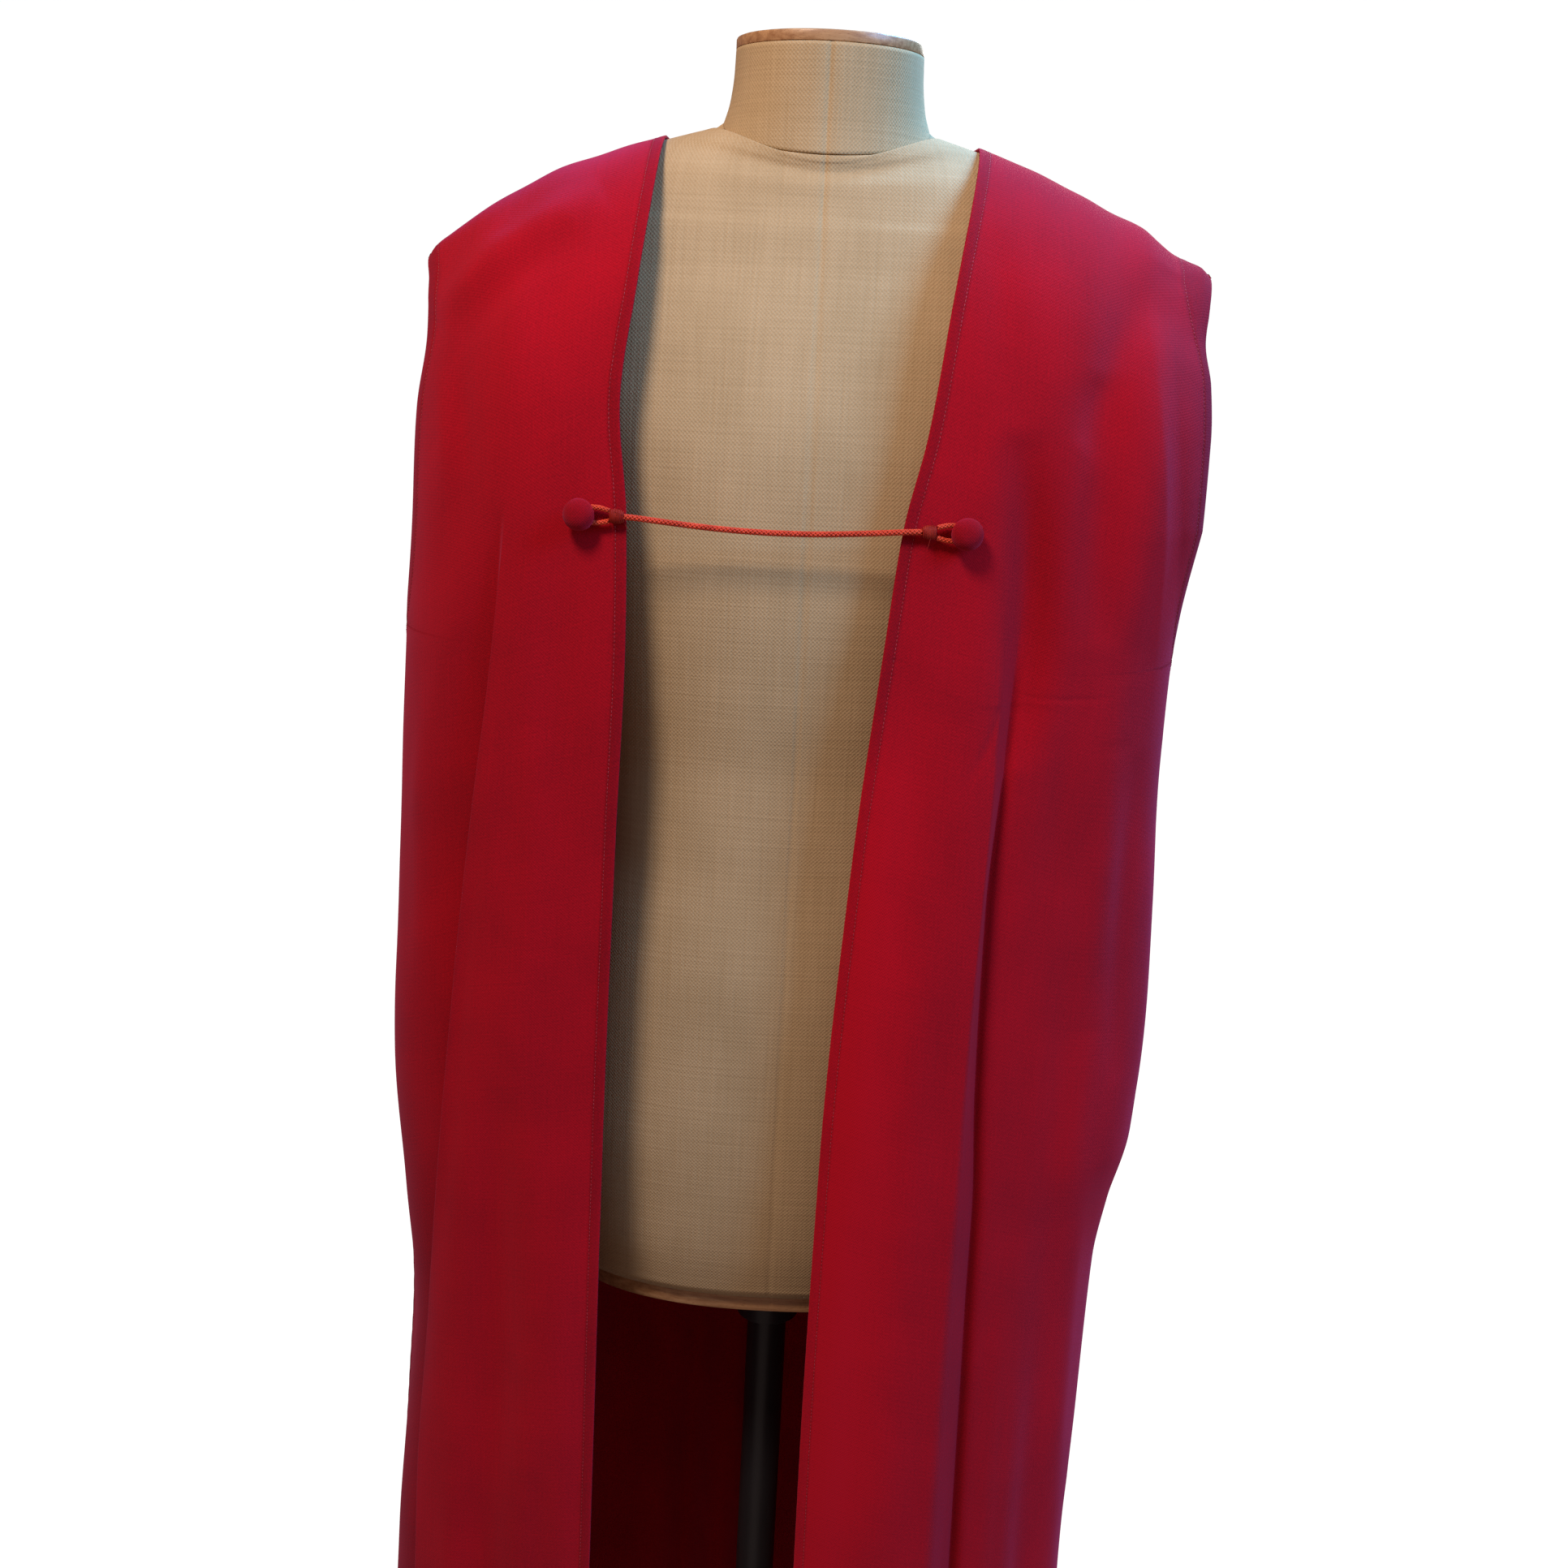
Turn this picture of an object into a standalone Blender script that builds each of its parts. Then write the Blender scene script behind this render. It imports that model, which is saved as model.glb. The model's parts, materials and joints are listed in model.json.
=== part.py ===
"""A chimere on a dress form: a sleeveless robe, open down the front, with a cord fastening.

Metres, +Z up. The wearer faces -Y and the wearer's left is at +X. The origin is on the floor,
under the middle of the stand's base. The robe is three cut pieces, two fronts and a back, and
the seams that join them, over the shoulders and down the sides, lie in the plane Y = 0.
"""

import math

import bmesh
import bpy
import numpy as np

for old in list(bpy.data.objects):
    bpy.data.objects.remove(old)

RIGHT, LEFT = -1, 1  # the wearer's sides, as signs of X
SIDES = {"right": RIGHT, "left": LEFT}

# Sizes that vary along a piece


def table(columns, *rows):
    """Rows of numbers under named columns, as a dictionary of arrays."""
    return dict(zip(columns.split(), np.array(rows, float).T))


def follow(rows, column, at, key="height"):
    """A column's value at places along the key column, on a smooth curve without overshoot."""
    x, y = rows[key], rows[column]
    at = np.clip(at, x[0], x[-1])
    rise = np.diff(y) / np.diff(x)
    climbs = rise[:-1] * rise[1:] > 0
    inner = 2 * rise[:-1] * rise[1:] / np.where(climbs, rise[:-1] + rise[1:], 1)
    slope = np.concatenate([rise[:1], np.where(climbs, inner, 0), rise[-1:]])
    i = np.clip(np.searchsorted(x, at) - 1, 0, len(rise) - 1)
    span = x[i + 1] - x[i]
    t = (at - x[i]) / span
    start = y[i] * (1 + 2 * t) * (1 - t) ** 2 + slope[i] * span * t * (1 - t) ** 2
    end = y[i + 1] * t * t * (3 - 2 * t) - slope[i + 1] * span * t * t * (1 - t)
    return start + end


def ease(t):
    """0 to 1 with a soft start and a soft end."""
    t = np.clip(t, 0, 1)
    return t * t * (3 - 2 * t)


def trough(away, inner, outer):
    """1 at the bottom of a trough, 0 at its two lips, which lie inner before and outer beyond."""
    across = np.clip(away / np.where(away < 0, inner, outer), -1, 1)
    return np.cos(across * math.pi / 2) ** 2


# Driving sizes of the robe

WALL = 0.0015  # thickness of the cloth
GAP = 0.0003  # clear gap between two pieces that touch
CHEST = 1.2565  # height of the buttons
UNDERARM = 1.172  # height of the bottom of the armholes
HEM = 0.150
SQUARE = 2.6  # how square the robe's round is, 2 being an oval
FRONT_FALL = 2.1  # how squarely the front falls from the shoulder
BACK_FALL = 2.6

# How far out the sides hang: pulled in at the hip, and wider below it
REACH = {
    RIGHT: table(
        "height reach",
        (HEM, 0.2720),
        (0.510, 0.2640),
        (0.610, 0.2590),
        (0.690, 0.2555),
        (0.780, 0.2605),
        (0.880, 0.2650),
        (1.000, 0.2620),
        (UNDERARM, 0.2560),
        (CHEST, 0.2530),
    ),
    LEFT: table(
        "height reach",
        (HEM, 0.2370),
        (0.540, 0.2235),
        (0.640, 0.2265),
        (0.750, 0.2280),
        (0.800, 0.2335),
        (0.850, 0.2445),
        (0.920, 0.2470),
        (1.010, 0.2440),
        (1.100, 0.2400),
        (UNDERARM, 0.2420),
        (CHEST, 0.2550),
    ),
}

# How far the front and the back hang from the middle
DEPTH = table(
    "height front back",
    (HEM, 0.158, 0.205),
    (0.600, 0.142, 0.172),
    (0.900, 0.132, 0.148),
    (1.060, 0.129, 0.135),
    (CHEST, 0.128, 0.128),
)

# Where the front edges hang
EDGE = {
    RIGHT: table(
        "height across",
        (HEM, 0.1120),
        (0.870, 0.1100),
        (1.050, 0.1075),
        (1.180, 0.1045),
        (CHEST, 0.1060),
        (1.320, 0.1120),
        (1.390, 0.1050),
        (1.450, 0.0995),
        (1.479, 0.0980),
    ),
    LEFT: table(
        "height across",
        (HEM, 0.0280),
        (0.650, 0.0250),
        (0.860, 0.0274),
        (1.055, 0.0370),
        (1.196, 0.0495),
        (CHEST, 0.0556),
        (1.310, 0.0666),
        (1.390, 0.0778),
        (1.4807, 0.0940),
    ),
}

# The top of the shoulders, from the nape out to the armholes. The seams start at the necks.
NECK = {RIGHT: 0.0980, LEFT: 0.0940}
TIP = {RIGHT: 0.2450, LEFT: 0.2450}
SHOULDER = {
    RIGHT: table(
        "across height",
        (0.000, 1.4902),
        (0.050, 1.4895),
        (0.098, 1.4790),
        (0.134, 1.4675),
        (0.164, 1.4560),
        (0.189, 1.4430),
        (0.215, 1.4262),
        (0.232, 1.4139),
        (0.240, 1.4072),
        (0.245, 1.3990),
    ),
    LEFT: table(
        "across height",
        (0.000, 1.4902),
        (0.050, 1.4895),
        (0.094, 1.4807),
        (0.138, 1.4641),
        (0.167, 1.4520),
        (0.196, 1.4388),
        (0.207, 1.4310),
        (0.218, 1.4240),
        (0.228, 1.4200),
        (0.238, 1.4165),
        (0.245, 1.4095),
    ),
}
# How far the armholes' edges are drawn in between the shoulder and the chest
TUCK = {
    RIGHT: table(
        "height in",
        (CHEST, 0.0),
        (1.310, 0.0020),
        (1.352, 0.0062),
        (1.385, 0.0040),
        (1.399, 0.0),
    ),
    LEFT: table(
        "height in",
        (CHEST, 0.0),
        (1.310, 0.0),
        (1.345, 0.0020),
        (1.370, 0.0060),
        (1.390, 0.0035),
        (1.4095, 0.0),
    ),
}
NAPE = 0.080  # how far back the neckline reaches
NECK_SQUARE = 2.3  # how square the neckline's round is

# The armholes, from the chest down, are half an oval about this wide to the front and the back
ARM_FRONT = math.radians(15)
ARM_BACK = math.radians(19)
ARM_SQUARE = 2.2

# Columns of points run from the shoulders to the hem, and some follow the lines of folds. share
# is where a line starts on the shoulder seam, 0 at the neck and 1 at the armhole.
FOLD_LINE = table(  # of the wearer's right front
    "height across",
    (HEM, 0.2440),
    (0.620, 0.2380),
    (0.740, 0.2300),
    (0.860, 0.2175),
    (1.020, 0.2015),
    (1.150, 0.1870),
    (CHEST, 0.1780),
)
DEEP_INNER = table(  # the two sides of the wearer's left front's deep fold
    "height across", (HEM, 0.1120), (0.620, 0.1140), (CHEST, 0.1165)
)
DEEP_OUTER = table(
    "height across",
    (HEM, 0.1500),
    (0.620, 0.1390),
    (0.820, 0.1335),
    (1.025, 0.1265),
    (CHEST, 0.1235),
)
LINE_SHARES = {RIGHT: (0.50, 0.56), LEFT: (0.30, 0.36)}
LINE_STEPS = {RIGHT: (7, 1, 6), LEFT: (6, 4, 9)}  # columns between the lines
STEP = 0.009  # width of the steep side of the right front's fold

# Soft troughs down the fronts: their line, how wide they are on both sides of it, and how deep
FRONT_TROUGHS = {
    RIGHT: (
        (
            STEP,
            0.045,
            FOLD_LINE
            | table(
                "height depth",
                (HEM, 0.0),
                (0.620, 0.002),
                (0.740, 0.007),
                (0.860, 0.009),
                (1.020, 0.009),
                (1.150, 0.006),
                (CHEST, 0.0),
            ),
        ),
        (
            0.032,
            0.032,
            table(
                "height across depth",
                (HEM, 0.192, 0.014),
                (0.600, 0.184, 0.007),
                (0.860, 0.180, 0.001),
                (0.930, 0.180, 0.0),
            ),
        ),
    ),
    LEFT: (
        (
            0.012,
            0.016,
            table(
                "height across depth",
                (1.100, 0.2230, 0.0),
                (1.200, 0.2230, 0.004),
                (1.285, 0.2200, 0.006),
                (1.330, 0.2120, 0.005),
                (1.370, 0.2000, 0.003),
                (1.400, 0.1880, 0.0),
            ),
        ),
        (
            0.024,
            0.024,
            table(
                "height across depth",
                (HEM, 0.1960, 0.013),
                (0.620, 0.1880, 0.007),
                (0.900, 0.1800, 0.0),
            ),
        ),
    ),
}
DEEP_FOLD = table(
    "height depth swell",  # swell is how far the roll beside it stands out
    (HEM, 0.034, 0.012),
    (0.620, 0.030, 0.010),
    (0.850, 0.022, 0.007),
    (1.030, 0.011, 0.004),
    (1.180, 0.0, 0.001),
    (CHEST, 0.0, 0.0),
)

# Troughs down the back, in degrees round from the middle of the back towards the wearer's left
BACK_TROUGHS = table(
    "top hem width starts depth",
    (-62, -66, 13, 1.12, 0.018),
    (-43, -47, 11, 1.30, 0.026),
    (-24, -26, 10, 1.22, 0.020),
    (-6, -9, 11, 1.34, 0.030),
    (14, 13, 9, 1.16, 0.019),
    (31, 35, 12, 1.32, 0.028),
    (52, 57, 12, 1.20, 0.022),
)
BACK_SWELL = 0.010  # how far the back stands out between them at the hem
SEAM_CALM = 0.030  # folds of the fronts die out this near the side seams

# Rows of points, down to the chest, down the armhole, and down to the hem
FALL_ROWS = 9
ARM_ROWS = 5
HANG_ROWS = 12
SEAM_ROW = FALL_ROWS + ARM_ROWS - 1  # the row where the side seams start
DOWN = np.sin(np.linspace(0, math.pi / 2, ARM_ROWS + 1))[1:]
LEVELS = np.concatenate(
    [CHEST + (UNDERARM - CHEST) * DOWN, np.linspace(UNDERARM, HEM, HANG_ROWS + 1)[1:]]
)
NECK_COLUMNS = 9  # of half the back's neckline
WING = {RIGHT: 12, LEFT: 14}  # columns of the back between the neck and the armhole

# The buttons and the cord between them, at the places on the cloth where they are sewn
BUTTON_ACROSS = {RIGHT: 0.1320, LEFT: 0.0917}
BUTTON_SIDES = 24
BUTTON_PROFILE = table(  # a dome over a thin shank, from the cloth out
    "radius out",
    (0.0026, 0.0003),
    (0.0026, 0.0056),
    (0.0085, 0.0058),
    (0.0095, 0.0068),
    (0.0093, 0.0084),
    (0.0081, 0.0106),
    (0.0060, 0.0124),
    (0.0032, 0.0135),
    (0.0010, 0.0138),
)
CORD = 0.0019  # radius of the cord
LOOP = 0.0016  # radius of the cord's loops
LOOP_OUT = 0.0034  # how far the loops' middle is from the cloth
LOOP_ROUND = 0.0046  # radius of the loops' turn round the shank
LOOP_SPREAD = 0.0030  # half the distance between a loop's two ends
LOOP_BULGE = 0.0008  # how far its legs bow apart
LOOP_TURN = np.radians(np.arange(75, 286, 30))  # of the part that goes round the shank
BINDING_START = 0.0175  # from the button's middle
BINDING_LENGTH = 0.0080
BINDING_SIDES = 16
BINDING_PROFILE = table(  # an oval winding of thread, along its length
    "along wide deep",
    (0.00, 0.0036, 0.0022),
    (0.15, 0.0042, 0.0026),
    (0.50, 0.0044, 0.0028),
    (0.85, 0.0038, 0.0026),
    (1.00, 0.0030, 0.0022),
)
CORD_SAG = 0.0048
CORD_STIFF = 0.018  # how far the cord runs straight on from its bindings
CORD_POINTS = 34
LOOP_POINTS = 17

# The dress form, in rounded slices. A slice's front and back rise by tilt for each metre out.
FORM_SIDES = 40
FORM_CLEAR = 0.0009  # below the cloth along the shoulders
FORM_BODY = table(
    "height across front back square",
    (0.740, 0.150, 0.094, 0.110, 2.3),
    (0.780, 0.161, 0.101, 0.119, 2.3),
    (0.860, 0.170, 0.105, 0.127, 2.3),
    (0.950, 0.162, 0.105, 0.119, 2.3),
    (1.040, 0.146, 0.101, 0.100, 2.3),
    (1.090, 0.145, 0.101, 0.097, 2.3),
    (1.150, 0.155, 0.106, 0.099, 2.3),
    (1.220, 0.174, 0.111, 0.103, 2.3),
    (1.290, 0.194, 0.107, 0.106, 2.3),
    (1.350, 0.211, 0.095, 0.104, 2.2),
    (1.385, 0.219, 0.084, 0.098, 2.1),
    (1.405, 0.220, 0.077, 0.091, 2.0),
)
FORM_SHOULDER = table(
    "across front back tilt square",
    (0.213, 0.072, 0.082, 0.02, 1.9),
    (0.195, 0.069, 0.074, 0.08, 1.8),
    (0.165, 0.066, 0.068, 0.14, 1.8),
    (0.135, 0.064, 0.063, 0.21, 1.8),
    (0.107, 0.060, 0.057, 0.27, 1.7),
    (0.086, 0.060, 0.056, 0.31, 1.9),
    (0.072, 0.0605, 0.055, 0.33, 2.0),
)
NECK_SEAM = 1.4867  # height of the neck's seam at its sides
NECK_RINGS = table(  # from the neck's seam up
    "rise across front back tilt",
    (0.000, 0.0640, 0.0600, 0.0540, 0.33),
    (0.014, 0.0600, 0.0575, 0.0520, 0.25),
    (0.030, 0.0580, 0.0565, 0.0510, 0.12),
    (0.0435, 0.0575, 0.0565, 0.0505, 0.0),
)
NECK_ROUND = 2.05
CAP_PROFILE = table("inset rise", (0.0005, 0.0), (0.0005, 0.0045), (0.0030, 0.0065))
BOARD_THICK = 0.012
BOARD_INSET = 0.004
SOCKET_PROFILE = table(
    "radius down", (0.045, 0.0), (0.045, 0.004), (0.022, 0.006), (0.022, 0.050)
)
POLE_RADIUS = 0.0140
BASE_PROFILE = table(
    "radius height",
    (0.195, 0.0),
    (0.195, 0.007),
    (0.191, 0.010),
    (0.110, 0.017),
    (0.042, 0.022),
    (0.030, 0.030),
    (0.027, 0.050),
    (0.023, 0.054),
)
ROUND = 32  # sides of a turned piece

# Materials


def material(name, colour, roughness, metallic=0.0):
    """A Principled material of one plain colour, given in linear light."""
    made = bpy.data.materials.new(name)
    made.use_nodes = True
    shader = made.node_tree.nodes["Principled BSDF"]
    shader.inputs["Base Color"].default_value = (*colour, 1)
    shader.inputs["Roughness"].default_value = roughness
    shader.inputs["Metallic"].default_value = metallic
    made.diffuse_color = (*colour, 1)
    return made


RED_CLOTH = material("red_cloth", (0.38, 0.006, 0.016), 0.85)
RED_CORD = material("red_cord", (0.60, 0.035, 0.030), 0.55)
LINEN = material("linen", (0.50, 0.41, 0.29), 0.90)
BEECH = material("varnished_beech", (0.36, 0.19, 0.08), 0.45)
STEEL = material("painted_steel", (0.020, 0.020, 0.022), 0.40)

# Making objects


def place(name, mesh, finish):
    """An object of the scene from a mesh or a curve, with its material."""
    made = bpy.data.objects.new(name, mesh)
    made.data.materials.append(finish)
    bpy.context.scene.collection.objects.link(made)
    return made


def finish_mesh(name, shape, finish, crease):
    """An object from a bmesh, its faces pointing out, smooth but for edges over crease degrees."""
    bmesh.ops.recalc_face_normals(shape, faces=shape.faces[:])
    mesh = bpy.data.meshes.new(name)
    shape.to_mesh(mesh)
    shape.free()
    mesh.shade_smooth()
    mesh.set_sharp_from_angle(angle=math.radians(crease))
    return place(name, mesh, finish)


def skin_faces(shape, grid):
    """Vertices of a bmesh at a grid of points, with a face in each of the grid's cells."""
    points = [[shape.verts.new(p) for p in row] for row in grid]
    for upper, lower in zip(points, points[1:]):
        for c in range(len(upper) - 1):
            shape.faces.new([upper[c], lower[c], lower[c + 1], upper[c + 1]])
    return points


def wall(name, outer, inner, finish):
    """A cloth wall between two grids of points that match."""
    shape = bmesh.new()
    skins = [skin_faces(shape, grid) for grid in (outer, inner)]
    last_row, last = outer.shape[0] - 1, outer.shape[1] - 1
    rim = [(r, 0) for r in range(last_row)]
    rim += [(last_row, c) for c in range(last)]
    rim += [(r, last) for r in range(last_row, 0, -1)]
    rim += [(0, c) for c in range(last, 0, -1)]
    for (r, c), (r2, c2) in zip(rim, rim[1:] + rim[:1]):
        shape.faces.new([skins[0][r][c], skins[0][r2][c2], skins[1][r2][c2], skins[1][r][c]])
    bmesh.ops.recalc_face_normals(shape, faces=shape.faces[:])
    bmesh.ops.triangulate(shape, faces=shape.faces[:])
    return finish_mesh(name, shape, finish, 60)


def loft(name, rings, finish, crease=40):
    """A solid through rings that have as many points each, closed flat at both ends."""
    shape = bmesh.new()
    made = [[shape.verts.new(p) for p in ring] for ring in rings]
    for low, high in zip(made, made[1:]):
        for i in range(len(low)):
            j = (i + 1) % len(low)
            shape.faces.new([low[i], low[j], high[j], high[i]])
    shape.faces.new(made[0])
    shape.faces.new(made[-1])
    return finish_mesh(name, shape, finish, crease)


def turned(name, radii, heights, finish):
    """A solid turned about Z, from its lowest ring up."""
    turn = np.arange(ROUND) * 2 * math.pi / ROUND
    rings = [
        np.stack([r * np.cos(turn), r * np.sin(turn), h + 0 * turn], axis=1)
        for r, h in zip(radii, heights)
    ]
    return loft(name, rings, finish)


def tube(name, route, count, radius, finish):
    """A cord of count points along a smooth curve through the route's points."""
    route = np.array(route)
    steps = np.linalg.norm(np.diff(route, axis=0), axis=1)
    along = np.concatenate([[0], np.cumsum(steps)])
    line = table("along x y z", *np.column_stack([along, route]))
    at = np.linspace(0, along[-1], count)
    curve = bpy.data.curves.new(name, "CURVE")
    curve.dimensions = "3D"
    curve.bevel_depth = radius
    curve.bevel_resolution = 2
    curve.use_fill_caps = True
    spline = curve.splines.new("POLY")
    spline.points.add(count - 1)
    for point, here in zip(spline.points, at):
        point.co = (*(follow(line, axis, here, "along") for axis in "xyz"), 1)
    return place(name, curve, finish)


# The robe before its folds


def ridge(side, across):
    """Height of the top of the shoulder."""
    return follow(SHOULDER[side], "height", across, "across")


def turn_at(side, across, height):
    """How far round the robe a place on its front is, in radians from the middle of the front."""
    return np.arcsin((across / follow(REACH[side], "reach", height)) ** (SQUARE / 2))


def hanging(side, turn, height):
    """A point of the robe's round, turn radians from the middle of the front."""
    front, back = (follow(DEPTH, column, height) for column in ("front", "back"))
    across = side * follow(REACH[side], "reach", height) * np.sin(turn) ** (2 / SQUARE)
    along = np.abs(np.cos(turn)) ** (2 / SQUARE)
    depth = np.where(turn < math.pi / 2, -front * along, back * along)
    return np.stack([across, depth, height + 0 * turn], axis=-1)


def spread(stops, steps):
    """Places from the first stop to the last, each stretch cut into its own number of steps."""
    parts = [a + (b - a) * np.arange(n) / n for a, b, n in zip(stops, stops[1:], steps)]
    return np.concatenate([*parts, stops[-1:]])


def falling(top, chest, drop, square):
    """Depth and height of points on the way from the shoulder to the chest, drop 0 to 1."""
    angle = drop * math.pi / 2
    depth = chest[:, 1] * np.sin(angle) ** (2 / square)
    height = CHEST + (top - CHEST) * np.cos(angle) ** (2 / square)
    return depth, height


def arm_width(height):
    """1 where the armhole is widest, and 0 at its bottom."""
    down = np.clip((CHEST - height) / (CHEST - UNDERARM), 0, 1)
    return (1 - down**ARM_SQUARE) ** (1 / ARM_SQUARE)


def fold_lines(side, height):
    """Where the lines that the front's columns follow are, out from the middle."""
    if side == RIGHT:
        line = follow(FOLD_LINE, "across", height)
        return line - STEP, line
    return follow(DEEP_INNER, "across", height), follow(DEEP_OUTER, "across", height)


def front_turns(side, height):
    """How far round each column of a front is, at a height from the chest down."""
    across = (follow(EDGE[side], "across", height), *fold_lines(side, height))
    stops = [turn_at(side, x, height) for x in across]
    stops.append(math.pi / 2 - ARM_FRONT * arm_width(height))
    return spread(np.array(stops), LINE_STEPS[side])


def front_grid(side):
    """Rows of points of a front before its folds, from the shoulder seam down."""
    chest = hanging(side, front_turns(side, CHEST), CHEST)
    chest_across = np.abs(chest[:, 0])
    inner, outer = chest_across[[0, -1]]
    chest_share = (chest_across - inner) / (outer - inner)
    seam_share = spread(np.array([0, *LINE_SHARES[side], 1]), LINE_STEPS[side])
    top = ridge(side, NECK[side] + (TIP[side] - NECK[side]) * seam_share)
    rows = []
    for drop in np.linspace(0, 1, FALL_ROWS):
        depth, height = falling(top, chest, drop, FRONT_FALL)
        near = follow(EDGE[side], "across", height[0])
        far = TIP[side] + (outer - TIP[side]) * ease(drop) - follow(TUCK[side], "in", height[-1])
        share = seam_share + (chest_share - seam_share) * drop
        rows.append(np.stack([side * (near + (far - near) * share), depth, height], axis=1))
    rows += [hanging(side, front_turns(side, z), z) for z in LEVELS]
    return np.array(rows)


def back_turns(side, height):
    """How far round each column of half the back is, from the armhole or the side seam."""
    arm = math.pi / 2 + ARM_BACK * arm_width(height)
    neck = math.pi - turn_at(side, NECK[side], height)
    return spread(np.array([arm, neck, math.pi]), (WING[side], NECK_COLUMNS - 1))


def back_half(side):
    """Rows of points of half the back before its folds, from the shoulders down."""
    chest = hanging(side, back_turns(side, CHEST), CHEST)
    round_neck = np.linspace(0, math.pi / 2, NECK_COLUMNS)[1:]
    seam = np.linspace(TIP[side], NECK[side], WING[side] + 1)
    neckline = NECK[side] * np.cos(round_neck) ** (2 / NECK_SQUARE)
    across = np.concatenate([seam, neckline])
    dip = np.concatenate([0 * seam, NAPE * np.sin(round_neck) ** (2 / NECK_SQUARE)])
    start = np.arcsin((dip / chest[:, 1]) ** (BACK_FALL / 2)) / (math.pi / 2)
    rows = []
    for drop in np.linspace(0, 1, FALL_ROWS):
        depth, height = falling(
            ridge(side, across), chest, start + (1 - start) * drop, BACK_FALL
        )
        x = side * across + (chest[:, 0] - side * across) * ease(drop)
        rows.append(np.stack([x, depth, height], axis=1))
    rows += [hanging(side, back_turns(side, z), z) for z in LEVELS]
    return np.array(rows)


# The robe's folds


def normals(grid):
    """Unit normals of a grid, pointing out of the robe."""
    normal = np.cross(np.gradient(grid, axis=0), np.gradient(grid, axis=1))
    return normal / np.linalg.norm(normal, axis=2, keepdims=True)


def front_relief(side, grid):
    """How far each point of a front stands out, negative where it falls in."""
    across, height = np.abs(grid[..., 0]), grid[..., 2]
    out = 0 * across
    for inner, outer, rows in FRONT_TROUGHS[side]:
        away = across - follow(rows, "across", height)
        out -= follow(rows, "depth", height) * trough(away, inner, outer)
    if side == LEFT:
        edge = follow(EDGE[side], "across", height)
        inner, outer = fold_lines(side, height)
        within = np.clip((across - inner) / (outer - inner), 0, 1)
        beside = np.clip((across - edge) / (inner - edge), 0, 1)
        out -= follow(DEEP_FOLD, "depth", height) * np.sin(math.pi * within)
        out += follow(DEEP_FOLD, "swell", height) * np.sin(math.pi * beside)
    from_seam = np.abs(grid[..., 1]) / SEAM_CALM
    return out * np.where(height < CHEST, ease(from_seam), 1)


def back_relief(grid):
    """How far each point of the back stands out, negative where it falls in."""
    turn = np.degrees(np.arctan2(grid[..., 0], grid[..., 1]))
    height = grid[..., 2]
    fallen = np.clip((CHEST - height) / (CHEST - HEM), 0, 1)
    out = BACK_SWELL * fallen * np.cos(np.radians(turn))
    for top, hem, width, starts, depth in zip(*BACK_TROUGHS.values()):
        away = turn - top - (hem - top) * ease(fallen)
        grown = ease((starts - height) / (starts - HEM))
        out -= depth * grown * trough(away, width, width)
    return out


def hang(name, grid, relief, seams, side_of_seam):
    """A cut piece of the robe: its grid folded, trimmed at its seams and given its thickness."""
    outer = grid + normals(grid) * relief[..., None]
    inward = -normals(outer)
    for seam in seams:
        outer[seam][..., 1] = side_of_seam * GAP / 2
        inward[seam][..., 1] = 0
        inward[seam] /= np.linalg.norm(inward[seam], axis=-1, keepdims=True)
    return wall(name, outer, outer + inward * WALL, RED_CLOTH)


def front(word):
    """A front, from its front edge out to the armhole and the side seam."""
    side = SIDES[word]
    grid = front_grid(side)
    relief = front_relief(side, grid)
    seams = [np.s_[0:1, :], np.s_[SEAM_ROW:, -1:]]
    if side == RIGHT:  # its columns then run towards the wearer's left, as the back's do
        grid, relief = grid[:, ::-1], relief[:, ::-1]
        seams = [np.s_[0:1, :], np.s_[SEAM_ROW:, 0:1]]
    return hang(f"front_{word}", grid, relief, seams, -1)


def back():
    """The back, in one piece from side to side."""
    grid = np.concatenate([back_half(LEFT), back_half(RIGHT)[:, -2::-1]], axis=1)
    seams = [
        np.s_[0:1, : WING[LEFT] + 1],
        np.s_[0:1, -WING[RIGHT] - 1 :],
        np.s_[SEAM_ROW:, 0:1],
        np.s_[SEAM_ROW:, -1:],
    ]
    return hang("back", grid, back_relief(grid), seams, 1)


# The fastening


def on_front(side, across, height, out):
    """A point a distance out from a front, at the buttons' level."""
    turn = turn_at(side, across, height)
    small = 0.001
    before, after = (hanging(side, turn + step, height) for step in (-small, small))
    normal = np.cross(after - before, (0, 0, side))
    return (before + after) / 2 + out * normal / np.linalg.norm(normal)


def button(word):
    """A covered button: a dome on a thin shank, standing off the cloth."""
    side = SIDES[word]
    across = BUTTON_ACROSS[side]
    foot, tip = (on_front(side, across, CHEST, out) for out in (0, 1))
    axis = tip - foot
    level = np.cross(axis, (0, 0, 1))
    level /= np.linalg.norm(level)
    turn = np.arange(BUTTON_SIDES)[:, None] * 2 * math.pi / BUTTON_SIDES
    spokes = np.cos(turn) * level + np.sin(turn) * np.cross(level, axis)
    rings = [foot + out * axis + r * spokes for r, out in zip(*BUTTON_PROFILE.values())]
    return loft(f"button_{word}", rings, RED_CLOTH)


def binding_ends(side):
    """The two ends of a binding's middle line, the one by the button first."""
    near = BUTTON_ACROSS[side] - BINDING_START
    start = on_front(side, near, CHEST, LOOP_OUT)
    way = on_front(side, near - BINDING_LENGTH, CHEST, LOOP_OUT) - start
    return start, start + way / np.linalg.norm(way) * BINDING_LENGTH


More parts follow.
